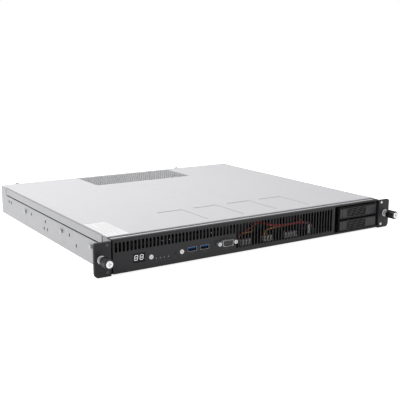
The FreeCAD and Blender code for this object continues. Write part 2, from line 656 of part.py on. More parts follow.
def vent_field():
    """The perforated field of the lid: staggered rows of round holes through one sheet."""
    width, length, pitch = size("vent_width"), size("vent_length"), size("vent_pitch")
    front, under = size("vent_front"), size("case_height") - size("sheet")
    row_pitch = pitch * math.sqrt(3) / 2
    rows, columns = int(length / row_pitch), int(width / pitch)
    start = front + (length - (rows - 1) * row_pitch) / 2
    holes = []
    for line in range(rows):
        copies = columns - line % 2
        for number in range(copies):
            across = (number - (copies - 1) / 2) * pitch
            circle = Part.Circle(Vector(across, start + line * row_pitch, under), Vector(0, 0, 1),
                                 size("vent_hole_radius"))
            holes.append(Part.Wire(circle.toShape()))
    outline = Part.makePlane(width, length, Vector(-width / 2, front, under)).OuterWire
    face = Part.Face([outline] + holes)
    face.validate()
    thing = document.addObject("Part::Feature", "VentField")
    thing.Shape = face.extrude(Vector(0, 0, size("sheet")))
    return thing


def cover_screws():
    """Two finger screws that hold the lid's rear tabs and stay with the chassis."""
    for side, across in COVER_SCREWS.items():
        outside = "case_depth + 2*play + sheet"
        shank = rod("cover_screw_radius - fit_play", f"sheet + ({outside}) - case_depth + 2*play", across,
                    f"{REAR} - 2*play", "cover_screw_height")
        head = rod("cover_screw_head", "cover_screw_head_length", across, outside, "cover_screw_height")
        stop = rod("cover_screw_radius + 4*play", "sheet", across, f"{REAR} - 2*play - sheet",
                   "cover_screw_height")
        drive = block((f"{across} - cover_screw_head/2", f"{across} + cover_screw_head/2"),
                      (f"({outside}) + cover_screw_head_length - sheet",
                       f"({outside}) + cover_screw_head_length + play"),
                      ("cover_screw_height - sheet/2", "cover_screw_height + sheet/2"))
        as_node(f"cover_screw_{side}", cut(fused(shank, head, stop), drive))


def shoulder_pins():
    """Round-headed pins on each side wall, where the rack's slide rails hook on."""
    pins = []
    for sign in SIDES.values():
        for back in ("pin_first", "pin_second", "pin_third"):
            neck_start = INNER if sign > 0 else f"-({CASE} + pin_neck_length)"
            head_start = f"{CASE} + pin_neck_length" if sign > 0 else \
                f"-({CASE} + pin_neck_length + pin_head_length)"
            neck = rod("pin_neck", "sheet + pin_neck_length", neck_start, back, "pin_height", "x")
            head = rod("pin_head", "pin_head_length", head_start, back, "pin_height", "x")
            pins.append(fused(neck, head))
    as_node("shoulder_pins", *pins)


# ---------------------------------------------------------------- the front panel
def front_panel():
    """Folded black panel with its slots, the control openings and the drive bay."""
    body = new_body("FrontPanel")
    face = sketch_on(body, "XZ_Plane")
    sketch_box(face, ("-panel_width/2", "panel_width/2"), ("panel_bottom", PANEL_TOP))
    pad(body, face, "panel_sheet", backwards=True)
    lip = sketch_on(body, "XZ_Plane")
    sketch_box(lip, ("-panel_width/2", "panel_width/2"), ("front_flange_top + play", PANEL_TOP))
    pad(body, lip, "panel_return", backwards=True)
    short = sketch_on(body, "XZ_Plane")
    sketch_slot(short, "slot_width/2", "slot_first", "slot_low", "slot_high")
    row_of(body, pocket(body, short, "panel_sheet"), short, "slot_pitch", "slot_count")
    tall = sketch_on(body, "XZ_Plane")
    sketch_slot(tall, "slot_width/2", "grille_first", "grille_low", "slot_high")
    row_of(body, pocket(body, tall, "panel_sheet"), tall, "slot_pitch", "grille_count")
    openings = sketch_on(body, "XZ_Plane")
    sketch_box(openings, ("bay_left", "bay_right"), ("bay_low", "bay_high"))
    sketch_box(openings, ("display_left", "display_left + display_width"),
               ("display_low", "display_low + display_height"))
    for across in ("usb_first", "usb_second"):
        sketch_box(openings, (f"{across} - usb_width/2 - play", f"{across} + usb_width/2 + play"),
                   ("usb_height - usb_tall/2 - play", "usb_height + usb_tall/2 + play"))
    sketch_box(openings, ("vga_across - vga_width/2 - play", "vga_across + vga_width/2 + play"),
               ("vga_height - vga_tall/2 - play", "vga_height + vga_tall/2 + play"))
    for across in ("power_across", "identity_across"):
        sketch_circle(openings, "button_radius + fit_play", across, "control_row")
    sketch_circle(openings, "reset_radius + fit_play", "reset_across", "control_row")
    for number in range(count("lamp_count")):
        sketch_circle(openings, "lamp_radius", f"lamp_first + {number}*lamp_pitch", "lamp_height")
    pocket(body, openings, "panel_sheet")
    body_as_node("front_panel", body)


def control_pieces():
    """The boards, window, lamps, buttons and sockets behind the left half of the front panel."""
    back = ("control_board_gap", "control_board_gap + board")
    board = block(("display_left - 4*sheet", "vga_across + vga_nut_spacing"), back,
                  ("sheet", "slot_low + control_board_rise"))
    guides = [rod("button_radius + fit_play", "board + 2*play", across, "control_board_gap - play", "control_row")
              for across in ("power_across", "identity_across")]
    guides.append(rod("reset_radius + fit_play", "board + 2*play", "reset_across", "control_board_gap - play",
                      "control_row"))
    for across in ("usb_first", "usb_second"):
        guides.append(block((f"{across} - usb_width/2", f"{across} + usb_width/2"),
                            ("control_board_gap - play", "control_board_gap + board + play"),
                            ("usb_height - usb_tall/2", "usb_height + usb_tall/2")))
    as_node("control_board", cut(board, *guides))

    as_node("display_module",
            fused(block(("display_left", "display_left + display_width"), ("panel_sheet/2", "panel_sheet"),
                        ("display_low", "display_low + display_height")),
                  block(("display_left - sheet", "display_left + display_width + sheet"),
                        ("panel_sheet", "control_board_gap"), ("display_low - sheet", "display_low + display_height + sheet"))))
    as_node("indicator_lamps",
            *[rod("lamp_radius", "control_board_gap", f"lamp_first + {number}*lamp_pitch", 0, "lamp_height")
              for number in range(count("lamp_count"))])
    for name, across in (("power_button", "power_across"), ("identity_button", "identity_across")):
        cap = rod("button_radius", "button_stand + button_length", across, "-button_stand", "control_row")
        collar = rod("button_radius + button_collar", "sheet", across, "panel_sheet + play/2", "control_row")
        as_node(name, fused(cap, collar))
    stem = rod("reset_radius", "button_length - reset_recess", "reset_across", "reset_recess", "control_row")
    collar = rod("reset_radius + button_collar", "sheet", "reset_across", "panel_sheet + play/2", "control_row")
    as_node("reset_button", fused(stem, collar))
    usb_ports()
    video_port()


def usb_ports():
    """Two USB sockets: a folded metal shell round a plastic tongue that stands on a rear block."""
    shells, tongues = [], []
    for across in ("usb_first", "usb_second"):
        outer = (f"{across} - usb_width/2", f"{across} + usb_width/2")
        inner = (f"{across} - usb_width/2 + usb_shell", f"{across} + usb_width/2 - usb_shell")
        tall = ("usb_height - usb_tall/2", "usb_height + usb_tall/2")
        hollow = ("usb_height - usb_tall/2 + usb_shell", "usb_height + usb_tall/2 - usb_shell")
        shells.append(cut(block(outer, ("-usb_shell", "usb_depth"), tall),
                          block(inner, ("-2*usb_shell", "usb_depth - usb_shell"), hollow)))
        tongues.append(fused(block((f"{inner[0]} + usb_shell", f"{inner[1]} - usb_shell"),
                                   ("usb_shell", "usb_depth - usb_shell"),
                                   ("usb_height", "usb_height + usb_tongue")),
                             block(inner, ("usb_depth - 6*usb_shell", "usb_depth - usb_shell"), hollow)))
    as_node("usb_shells", *shells)
    as_node("usb_tongues", *tongues)


def video_port():
    """A D-shaped video socket on the front with its two jack nuts."""
    shell = block(("vga_across - vga_width/2", "vga_across + vga_width/2"), ("-vga_reach", "control_board_gap"),
                  ("vga_height - vga_tall/2", "vga_height + vga_tall/2"))
    shell = rounded(shell, "vga_nut_radius", lambda edge: abs(edge.Vertexes[0].Y - edge.Vertexes[-1].Y) > 1)
    hollow = block(("vga_across - vga_width/2 + sheet/2", "vga_across + vga_width/2 - sheet/2"),
                   ("-vga_reach - play", "-vga_reach + 4*sheet"),
                   ("vga_height - vga_tall/2 + sheet/2", "vga_height + vga_tall/2 - sheet/2"))
    hollow = rounded(hollow, "vga_nut_radius", lambda edge: abs(edge.Vertexes[0].Y - edge.Vertexes[-1].Y) > 1)
    nuts = []
    for side in SIDES.values():
        across = f"vga_across + {side}*vga_nut_spacing/2"
        nut = rod("vga_nut_radius", "vga_nut_reach", across, "-vga_nut_reach", "vga_height")
        nuts.append(cut(nut, rod("vga_nut_hole", "vga_nut_reach - sheet", across, "-vga_nut_reach - play",
                                 "vga_height")))
    as_node("video_port", cut(shell, hollow), *nuts)


# ---------------------------------------------------------------- the ears
def ears():
    """Each ear: a black plate on a folded bracket, two small screws and a captive thumbscrew."""
    plates, brackets, ferrules, ear_screws = [], [], [], []
    for side, sign in SIDES.items():
        across = f"({sign}*{THUMB})"
        plate = block((EAR_INNER, "rack_width/2"), (0, "ear_thickness"), (0, "ear_height"), sign)
        plate = rounded(plate, "ear_corner", lambda edge: edge.Length < size("ear_thickness") + 0.1
                        and abs(edge.Vertexes[0].X) > size("rack_width") / 2 - 0.1)
        taken = [block((f"{EAR_INNER} - play", f"{CASE} + bracket_width + play"),
                       ("ear_thickness - bracket_sheet", "ear_thickness + play"),
                       ("-play", "ear_height + play"), sign),
                 rod("ferrule_radius - 4*play", "ear_thickness + 2*play", across, "-play", "thumb_height")]
        screw_across = f"({sign}*ear_screw_across)"
        bracket = fused(block((CASE, f"{CASE} + bracket_width"), ("ear_thickness - bracket_sheet", "ear_thickness"),
                              ("sheet", "ear_height - sheet"), sign),
                        block((CASE, f"{CASE} + bracket_sheet"), ("ear_thickness", "bracket_length"),
                              ("sheet", "wall_step - sheet"), sign))
        holes = []
        for height in ("ear_screw_low", "ear_screw_high"):
            taken.append(rod("ear_screw_radius", "ear_thickness", screw_across, "-play", height))
            holes.append(rod("ear_screw_radius", "ear_thickness", screw_across, "play", height))
            shank = rod("ear_screw_radius", "ear_thickness", screw_across, 0, height)
            head = rod("ear_screw_head", "ear_screw_head_depth", screw_across, "-ear_screw_head_depth", height)
            ear_screws.append(fused(shank, head))
        plates.append(cut(plate, *taken))
        brackets.append(cut(bracket, *holes))
        ferrules.append(ferrule(across))
        thumbscrew(side, across)
    as_node("ears", *plates)
    as_node("ear_brackets", *brackets)
    as_node("ear_screws", *ear_screws)
    as_node("thumbscrew_ferrules", *ferrules)


def ferrule(across):
    """A flanged sleeve pressed into the ear; the snap ring and spring sit in its hollow."""
    height = "thumb_height"
    flange = rod("ferrule_flange_radius", "ferrule_flange", across, "-ferrule_flange", height)
    sleeve = rod("ferrule_radius", "ferrule_reach", across, "-ferrule_reach", height)
    root = rod("ferrule_radius - 4*play", "ear_thickness - play", across, "-play/2", height)
    hollow = rod("ring_radius + fit_play", "ferrule_reach - ferrule_wall + ear_thickness", across,
                 "ferrule_wall - ferrule_reach", height)
    bore = rod("thumb_shank + fit_play", "ferrule_reach", across, "-ferrule_reach - play", height)
    return cut(fused(flange, sleeve, root), hollow, bore)


def thumbscrew(side, across):
    """A captive rack screw: steel shank, black knob on its head, snap ring in its groove."""
    height = "thumb_height"
    ring_start = "ferrule_wall - ferrule_reach + play"
    shank = rod("thumb_shank", "screw_face_end + ear_thickness - 2*play", across, "-screw_face_end", height)
    head = rod("screw_face_radius", "screw_face_end - knob_base - knob_bore_depth - sheet", across,
               "-screw_face_end", height)
    groove_space = rod("thumb_shank + play", "ring_thickness + 2*play", across, f"{ring_start} - play", height)
    groove_core = rod("thumb_groove", "ring_thickness + 4*play", across, f"{ring_start} - 2*play", height)
    cross = []
    reach, width = "screw_face_radius*0.6", "sheet*0.8"
    for wide, tall in ((reach, f"{width}/2"), (f"{width}/2", reach)):
        cross.append(block((f"{across} - {wide}", f"{across} + {wide}"), ("-screw_face_end - play",
                           "-screw_face_end + 2*sheet"), (f"{height} - {tall}", f"{height} + {tall}")))
    as_node(f"thumbscrew_{side}", fused(cut(fused(shank, head), groove_space, *cross), groove_core))

    barrel = rod("knob_radius", "knob_end - knob_base", across, "-knob_end", height)
    seat = rod("screw_face_radius", "knob_end - knob_base - knob_bore_depth - sheet + play", across,
               "-knob_end - play", height)
    middle = rod("thumb_shank", "knob_end", across, "-knob_end", height)
    hollow = rod("ferrule_radius + fit_play", "knob_bore_depth + play", across, "-knob_base - knob_bore_depth",
                 height)
    as_node(f"knob_{side}", cut(barrel, seat, middle, hollow))

    ring = cut(rod("ring_radius", "ring_thickness", across, ring_start, height),
               rod("thumb_groove + fit_play", "ring_thickness + 2*play", across, f"{ring_start} - play", height))
    as_node(f"snap_ring_{side}", ring)


# ---------------------------------------------------------------- the drive bay
def drive_cage():
    """Folded cage: left wall, right wall, a shelf under each carrier and a top plate."""
    left = "(carrier_left - carrier_play - sheet)"
    right = f"(carrier_right + carrier_play)"
    back = ("panel_sheet + play", "carrier_front + carrier_length")
    low = "(carrier_low - carrier_play - sheet)"
    high = f"({carrier_low(1)} + carrier_height + carrier_play)"
    pieces = [block((left, f"{left} + sheet"), back, ("sheet", f"{high} + sheet")),
              block((right, f"{right} + sheet"), back, ("sheet", f"{high} + sheet")),
              block((left, f"{right} + sheet"), back, (high, f"{high} + sheet"))]
    for level in range(len(CARRIERS)):
        under = f"({carrier_low(level)} - carrier_play - sheet)"
        pieces.append(block((left, f"{right} + sheet"), back, (under, f"{under} + sheet")))
    as_node("drive_cage", fused(*pieces))

    board = ("carrier_front + carrier_length + socket_depth - sheet",
             "carrier_front + carrier_length + socket_depth - sheet + board")
    plate = block(("carrier_left", "carrier_right"), board, ("sheet", f"{high} + sheet"))
    sockets = []
    for level in range(len(CARRIERS)):
        bottom = f"({carrier_low(level)} + carrier_sheet + play)"
        middle = "(carrier_left + carrier_width/2)"
        sockets.append(block((f"{middle} - socket_width/2", f"{middle} + socket_width/2"),
                             (f"{board[0]} - socket_depth", board[0]), (bottom, f"{bottom} + socket_height")))
    as_node("drive_backplane", fused(plate, *sockets))


def drive_carrier(level, name):
    """A slide-out carrier with its drive, swing lever and release button."""
    low = carrier_low(level)
    high = f"({low} + carrier_height)"
    front = "carrier_front"
    bezel_start = "(carrier_front + lever_thickness + play)"
    lever_low, lever_high = f"({low} + carrier_sheet)", f"({high} - carrier_sheet)"
    pin_across = f"(carrier_right - lever_thickness/2)"
    pin_back = "(carrier_front + lever_thickness/2)"

    plates = [block(("carrier_left", "carrier_right"), (front, "carrier_front + bezel_depth"),
                    (f"{high} - carrier_sheet + play", high)),
              block(("carrier_left", "carrier_right"), (front, "carrier_length + carrier_front"),
                    (low, f"{low} + carrier_sheet - play")),
              block(("carrier_left", "carrier_right"), (bezel_start, "carrier_front + bezel_depth"), (low, high)),
              rod("lever_pin", "carrier_height", pin_across, pin_back, low, "z")]
    for start in ("carrier_left", f"(carrier_right - carrier_sheet)"):
        plates.append(block((start, f"{start} + carrier_sheet"), (front if start == "carrier_left"
                            else bezel_start, "carrier_front + carrier_length"), (low, high)))
    latch = ("carrier_left + carrier_sheet + play", "lever_left - play")
    room = block((latch[0], latch[1]), (f"{bezel_start} - play", f"{bezel_start} + latch_travel + play"),
                 (f"{lever_low} - play/2", f"{lever_high} + play/2"))
    as_node(f"carrier_{name}", cut(fused(*plates), room))

    drive_start = "(carrier_front + bezel_depth + carrier_play)"
    middle = "(carrier_left + carrier_width/2)"
    as_node(f"drive_{name}", block((f"{middle} - drive_width/2", f"{middle} + drive_width/2"),
                                   (drive_start, f"{drive_start} + drive_length"),
                                   (f"{low} + carrier_sheet", f"{low} + carrier_sheet + drive_height")))

    arm = fused(block(("lever_left", pin_across), (front, "carrier_front + lever_thickness"),
                      (f"{lever_low} + play", f"{lever_high} - play")),
                rod("lever_thickness/2", f"({lever_high}) - ({lever_low}) - 2*play", pin_across, pin_back,
                    f"{lever_low} + play", "z"))
    taken = [rod("lever_pin + fit_play", "carrier_height", pin_across, pin_back, low, "z")]
    middle_height = f"({lever_low} + {lever_high})/2"
    for number in range(count("lever_slot_count")):
        height = f"({middle_height} + ({number} - (lever_slot_count - 1)/2)*lever_slot_pitch)"
        taken.append(block(("lever_left + 3*sheet", "lever_slot_end"), ("0", "lever_thickness/2 + carrier_front"),
                           (f"{height} - lever_slot/2", f"{height} + lever_slot/2")))
    as_node(f"lever_{name}", cut(arm, *taken))
    as_node(f"release_{name}", block(latch, (front, f"{bezel_start} - play/2"),
                                     (f"{lever_low} + play", f"{lever_high} - play")))


# ---------------------------------------------------------------- the fans
def fan_frame(middle_x, middle_z, front, depth, half="fan_size/2", bore="fan_bore"):
    """A square fan frame with its round passage, three spokes and the rotor's spindle."""
    frame = block((f"{middle_x} - {half}", f"{middle_x} + {half}"), (front, f"({front}) + ({depth})"),
                  (f"{middle_z} - {half}", f"{middle_z} + {half}"))
    passage = rod(bore, f"({depth}) + 2*play", middle_x, f"({front}) - play", middle_z)
    spoke_start = f"({front}) + ({depth}) - fan_spoke"
    spokes = [block((f"{middle_x} - {bore} - play", f"{middle_x} + {bore} + play"),
                    (spoke_start, f"({front}) + ({depth})"),
                    (f"{middle_z} - fan_spoke/2", f"{middle_z} + fan_spoke/2")),
              block((f"{middle_x} - fan_spoke/2", f"{middle_x} + fan_spoke/2"),
                    (spoke_start, f"({front}) + ({depth})"),
                    (f"{middle_z} - {bore} - play", f"{middle_z} + {bore} + play")),
              rod("fan_hub", "fan_spoke", middle_x, spoke_start, middle_z)]
    spindle = rod("fan_pin", f"({depth}) - 2*fan_spoke", middle_x, f"({front}) + fan_spoke", middle_z)
    return fused(cut(frame, passage), *spokes, spindle)


def sketch_polygon(sketch, *points):
    """Draw a closed outline through points whose coordinates are formulas."""
    corners = [Vector(size(x), size(y)) for x, y in points]
    first = len(sketch.Geometry)
    for number, corner in enumerate(corners):
        sketch.addGeometry(Part.LineSegment(corner, corners[(number + 1) % len(corners)]))
    for number, (x, y) in enumerate(points):
        line = first + number
        following = first + (number + 1) % len(corners)
        sketch.addConstraint(Sketcher.Constraint("Coincident", line, 2, following, 1))
        dimension(sketch, Sketcher.Constraint("DistanceX", -1, 1, line, 1, corners[number].x), x)
        dimension(sketch, Sketcher.Constraint("DistanceY", -1, 1, line, 1, corners[number].y), y)


def fan_rotor(name, middle_x, middle_z, front, depth, bore="fan_bore"):
    """A rotor: hub with a blind bore for the spindle and a ring of slanted blades."""
    body = new_body("Rotor")
    length = f"(({depth}) - 2*fan_spoke)"
    hub = sketch_on(body, "XZ_Plane")
    sketch_circle(hub, "fan_hub", "0", "0")
    pad(body, hub, length, backwards=True)
    blade = sketch_on(body, "XY_Plane", "fan_hub - sheet")
    lean, thin = "fan_hub/2", "sheet"
    sketch_polygon(blade, (f"-{lean}", "sheet"), (f"-{lean} + {thin}", "sheet"),
                   (lean, f"{length} - sheet"), (f"{lean} - {thin}", f"{length} - sheet"))
    sweep = pad(body, blade, f"{bore} - 3*fan_tip_gap - fan_hub + sheet")
    ring = body.newObject("PartDesign::PolarPattern", "Blades")
    ring.Originals = [sweep]
    ring.Axis = (next(item for item in body.Origin.OriginFeatures if item.Role == "Y_Axis"), [""])
    ring.Angle = 360
    bind(ring, Occurrences="blade_count")
    body.Tip = ring
    document.recompute()
    bore = sketch_on(body, "XZ_Plane", f"-{length}")
    sketch_circle(bore, "fan_pin + fit_play", "0", "0")
    hole = pocket_back(body, bore, f"{length} - 2*sheet")
    body.Label = name
    place(body, middle_x, f"({front}) + 2*play - case_depth/2", middle_z)
    nodes.append(body)
    return hole


def pocket_back(body, sketch, depth):
    """Cut a sketch that lies on the body's far face back into the body."""
    before = body.Shape.Volume
    feature = body.newObject("PartDesign::Pocket", "Pocket")
    feature.Profile = sketch
    feature.Reversed = True
    bind(feature, Length=depth)
    document.recompute()
    if not body.Shape.Volume < before:
        raise RuntimeError(f"a pocket of {body.Label} cuts nothing")
    return feature


def case_fans():
    """Four case fans in a row on a folded holder, each with its own rotor."""
    height = "(sheet + fan_size/2)"
    half = f"({fan_across(count('fan_count') - 1)} + fan_size/2 + 2*sheet)"
    holder = [block((f"-{half}", half), ("fan_front - sheet", "fan_front"), ("sheet", "sheet + fan_size")),
              block((f"-{half}", half), ("fan_front - 12*sheet", "fan_front"), ("sheet", "2*sheet"))]
    passages, frames = [], []
    for number in range(count("fan_count")):
        across = fan_across(number)
        passages.append(rod("fan_bore", "sheet + 2*play", across, "fan_front - sheet - play", height))
        frames.append(fan_frame(across, height, "fan_front", "fan_depth"))
        fan_rotor(f"fan_rotor_{number + 1}", across, height, "fan_front", "fan_depth")
    as_node("fan_frames", *frames)
    as_node("fan_holder", cut(fused(*holder), *passages))


HEADERS = ("header_first_inset", "header_second_inset", "header_third_inset", "header_fourth_inset",
           "header_fifth_inset")

# Routes of the fan cables in front coordinates, each from its header to the fan holder's face.
FAN_CABLES = (
    ((-28.5, 14.5, 13.1), (-28.5, 14.5, 17.8), (-20, 15, 21), (-9, 15.5, 25), (0, 19, 30), (5, 31, 32),
     (5, 44, 32)),
    ((14, 14.5, 13.1), (14, 14.5, 17.8), (22, 17, 20.5), (42, 18.5, 21), (66, 18.5, 21.5), (86, 21, 24.5),
     (103, 31, 36), (103, 44, 36)),
    ((99, 14.5, 13.1), (99, 14.5, 18.5), (85, 14, 22.6), (66, 14, 23.2), (49, 14, 23.8), (31, 14.3, 25.2),
     (18, 19, 31), (12, 31, 37), (12, 44, 37)),
    ((-42, 14.5, 13.1), (-42, 14.5, 18), (-46, 20, 22), (-55, 32, 24), (-55, 44, 24)),
)
# How the second wire of a cable lies beside the first.
BESIDE = (1.2, -1.6, 1.5)


def fan_board():
    """The small board behind the grille that feeds the fans, with its white headers."""
    across = ("fan_board_left", "fan_board_left + fan_board_width")
    back = ("fan_board_front", "fan_board_front + fan_board_depth")
    low = "(sheet + standoff/2)"
    feet = [rod("standoff_radius", "standoff/2", x, "fan_board_front + fan_board_depth/2", "sheet", "z")
            for x in ("fan_board_left + 2*standoff_radius", "fan_board_left + fan_board_width - 2*standoff_radius")]
    post = rod("post_radius", "post_height", "fan_board_left + post_inset", "fan_board_front + 2*post_radius",
               f"{low} + board", "z")
    as_node("fan_board", fused(block(across, back, (low, f"{low} + board")), post, *feet))
    headers = []
    for inset in HEADERS:
        middle = f"fan_board_left + {inset}"
        headers.append(block((f"{middle} - header_width/2", f"{middle} + header_width/2"),
                             ("fan_board_front + sheet", "fan_board_front + sheet + header_depth"),
                             (f"{low} + board", f"{low} + board + header_height")))
    as_node("fan_headers", *headers)


def wire(points, radius):
    """A round wire along straight runs joined by arcs, as large as 0.45 of the shorter run allows."""
    edges, start = [], points[0]
    for before, corner, after in zip(points, points[1:], points[2:]):
        arriving, leaving = (corner - before).normalize(), (after - corner).normalize()
        turn = arriving.getAngle(leaving)
        shorter = min((corner - before).Length, (after - corner).Length)
        reach = 0.45 * shorter
        bend = reach / math.tan(turn / 2)
        print(f"wire bend radius {bend:.1f} mm")
        first, last = corner - arriving * reach, corner + leaving * reach
        centre_side = (leaving - arriving).normalize()
        centre = corner + centre_side * (bend / math.cos(turn / 2))
        middle = centre - centre_side * bend
        edges += [Part.LineSegment(start, first).toShape(), Part.Arc(first, middle, last).toShape()]
        start = last
    edges.append(Part.LineSegment(start, points[-1]).toShape())
    path = Part.Wire(edges)
    direction = (points[1] - points[0]).normalize()
    circle = Part.Wire(Part.Circle(points[0], direction, radius).toShape())
    tube = path.makePipeShell([circle], True, False)
    expected = math.pi * radius ** 2 * path.Length
    if abs(tube.Volume - expected) > 0.02 * expected:
        raise RuntimeError("a wire's tube hasn't the volume of its section times its length")
    return tube


def fan_wires():
    """Two wires from each fan's header to the fan holder, side by side."""
    radius = size("wire_radius")
    tubes = []
    for route in FAN_CABLES:
        first = [Vector(*point) for point in route]
        second = [point + Vector(*BESIDE) for point in first]
        # Both wires start on the header's top and end on the holder's face.
        second[0].z = first[0].z
        second[-1].y = first[-1].y
        tubes += [wire(first, radius), wire(second, radius)]
    thing = document.addObject("Part::Feature", "Wires")
    thing.Shape = Part.makeCompound(tubes)
    as_node("fan_wires", thing)


# ---------------------------------------------------------------- the system board
def system_board():
    """The main board on its standoffs, with processor, heat sink, memory and its sockets."""
    front = f"({SYSTEM_BACK} - system_length)"
    board = block(("system_left", "system_right"), (front, SYSTEM_BACK), (BOARD_UNDER, BOARD_TOP))
    feet = []
    for x in ("system_left + 2*standoff_radius", f"system_right - 2*standoff_radius"):
        for y in (f"{front} + 2*standoff_radius", f"{front} + system_length/2",
                  f"{SYSTEM_BACK} - 4*standoff_radius"):
            feet.append(rod("standoff_radius", "standoff", x, y, "sheet", "z"))
    as_node("system_board", board)
    as_node("board_standoffs", *feet)

    package = block(("sink_across - package_size/2", "sink_across + package_size/2"),
                    ("sink_back - package_size/2", "sink_back + package_size/2"),
                    (BOARD_TOP, f"{BOARD_TOP} + package_height"))
    as_node("processor", package)
    sink_low = f"({BOARD_TOP} + package_height)"
    across = ("sink_across - sink_size/2", "sink_across + sink_size/2")
    along = ("sink_back - sink_size/2", "sink_back + sink_size/2")
    pieces = [block(across, along, (sink_low, f"{sink_low} + sink_base"))]
    for number in range(count("fin_count")):
        left = f"(sink_across - sink_size/2 + {number}*(sink_size - fin)/(fin_count - 1))"
        pieces.append(block((left, f"{left} + fin"), along, (sink_low, f"{sink_low} + sink_height")))
    as_node("heat_sink", fused(*pieces))

    sockets, modules = [], []
    for number in range(count("memory_count")):
        middle = memory_across(number)
        span = ("memory_front", "memory_front + memory_length")
        slot_low = f"({BOARD_TOP} + sheet)"
        sockets.append(cut(block((f"{middle} - memory_socket/2", f"{middle} + memory_socket/2"),
                                 ("memory_front - 2*sheet", "memory_front + memory_length + 2*sheet"),
                                 (BOARD_TOP, f"{BOARD_TOP} + memory_socket_height")),
                           block((f"{middle} - memory_thickness/2", f"{middle} + memory_thickness/2"), span,
                                 (slot_low, f"{BOARD_TOP} + memory_socket_height + play"))))
        modules.append(block((f"{middle} - memory_thickness/2", f"{middle} + memory_thickness/2"), span,
                             (slot_low, f"{slot_low} + memory_height")))
    as_node("memory_sockets", *sockets)
    as_node("memory_modules", *modules)


def power_cables():
    """Two sleeved cables from the power supply: to the system board and to the drive backplane."""
    radius = size("cable_radius")
    supply = size(f"{SUPPLY_BACK} - supply_length")
    left = size("supply_left")
    board_top = size(BOARD_TOP)
    plug_across = size(f"system_right - plug_width - 2*play")
    plug_back = size("memory_front") + size("plug_length") / 2
    plug_top = board_top + size("plug_height")
    plug = block((f"system_right - 3*plug_width/2 - 2*play", f"system_right - plug_width/2 - 2*play"),
                 ("memory_front", "memory_front + plug_length"), (BOARD_TOP, f"{BOARD_TOP} + plug_height"))
    to_board = wire([Vector(left + 14, supply, 14), Vector(left + 14, supply - 16, 14),
                     Vector(left + 2, supply - 30, 22), Vector(plug_across + 4, plug_back, plug_top + 14),
                     Vector(plug_across - 1, plug_back - 3, plug_top + 10),
                     Vector(plug_across, plug_back - 3, plug_top)], radius)
    drives = size("carrier_front + carrier_length + socket_depth - sheet + board")
    middle = size("carrier_left + carrier_width/2")
    to_drives = wire([Vector(middle - 8, supply, 20), Vector(middle - 8, supply - 24, 20),
                      Vector(middle + 4, supply - 52, 11), Vector(middle, drives + 46, 11),
                      Vector(middle - 2, drives + 22, 20), Vector(middle - 2, drives, 20)], radius)
    thing = document.addObject("Part::Feature", "Cables")
    thing.Shape = Part.makeCompound([to_board, to_drives])
    as_node("power_cables", thing, plug)


# ---------------------------------------------------------------- the rear
def rear_ports():
    """The port plate in the rear wall and the sockets on the system board behind it."""
    reach = ("case_depth + port_reach - port_depth", "case_depth + port_reach")
    network = []
    openings = []
    for across in ("lan_first", "lan_second"):
        outer = (f"{across} - lan_width/2", f"{across} + lan_width/2")
        cavity_low = f"({BOARD_TOP} + (lan_tall - lan_cavity_tall)/2)"
        network.append(cut(block(outer, reach, (BOARD_TOP, f"{BOARD_TOP} + lan_tall")),
                           block((f"{across} - lan_cavity_width/2", f"{across} + lan_cavity_width/2"),
                                 (f"({reach[1]}) - lan_cavity_depth", f"({reach[1]}) + play"),
                                 (cavity_low, f"{cavity_low} + lan_cavity_tall"))))
        openings.append((outer, "lan_tall"))

    usb = ("rear_usb_across - usb_width/2", "rear_usb_across + usb_width/2")
    stack = block(usb, reach, (BOARD_TOP, f"{BOARD_TOP} + rear_usb_tall"))
    mouths = []
    for level in range(2):
        low = f"({BOARD_TOP} + 2*sheet + {level}*(usb_tall + 2*sheet))"
        for part in ((low, f"{low} + usb_tall/4"), (f"{low} + usb_tall/4 + usb_tongue", f"{low} + usb_tall")):
            mouths.append(block((f"{usb[0]} + usb_shell", f"{usb[1]} - usb_shell"),
                                (f"({reach[1]}) - 10*sheet", f"({reach[1]}) + play"), part))
    usb_stack = cut(stack, *mouths)
    openings.append((usb, "rear_usb_tall"))

    video = ("rear_vga_across - vga_nut_spacing/2 - 3*sheet", "rear_vga_across + vga_nut_spacing/2 + 3*sheet")
    video_middle = f"({BOARD_TOP} + vga_tall/2 + 2*sheet)"
    video_back = block(video, (reach[0], "case_depth - sheet - play"),
                       (BOARD_TOP, f"{video_middle} + vga_tall/2 + sheet"))
    video_shell = block(("rear_vga_across - vga_width/2", "rear_vga_across + vga_width/2"),
                        ("case_depth - 2*sheet", "case_depth + vga_reach"),
                        (f"{video_middle} - vga_tall/2", f"{video_middle} + vga_tall/2"))
    as_node("rear_sockets", *network, usb_stack, fused(video_back, video_shell))
    plate = block(("shield_left + play", "shield_left + shield_width - play"), (REAR, "case_depth"),
                  ("shield_low + play", "shield_low + shield_height - play"))
    through = (f"{REAR} - play", "case_depth + play")
    holes = [block((f"{outer[0]} - port_play", f"{outer[1]} + port_play"), through,
                   (f"{BOARD_TOP} - port_play", f"{BOARD_TOP} + {tall} + port_play")) for outer, tall in openings]
    holes.append(block(("rear_vga_across - vga_width/2 - port_play", "rear_vga_across + vga_width/2 + port_play"),
                       through, (f"{video_middle} - vga_tall/2 - port_play",
                                 f"{video_middle} + vga_tall/2 + port_play")))
    as_node("port_plate", cut(plate, *holes))


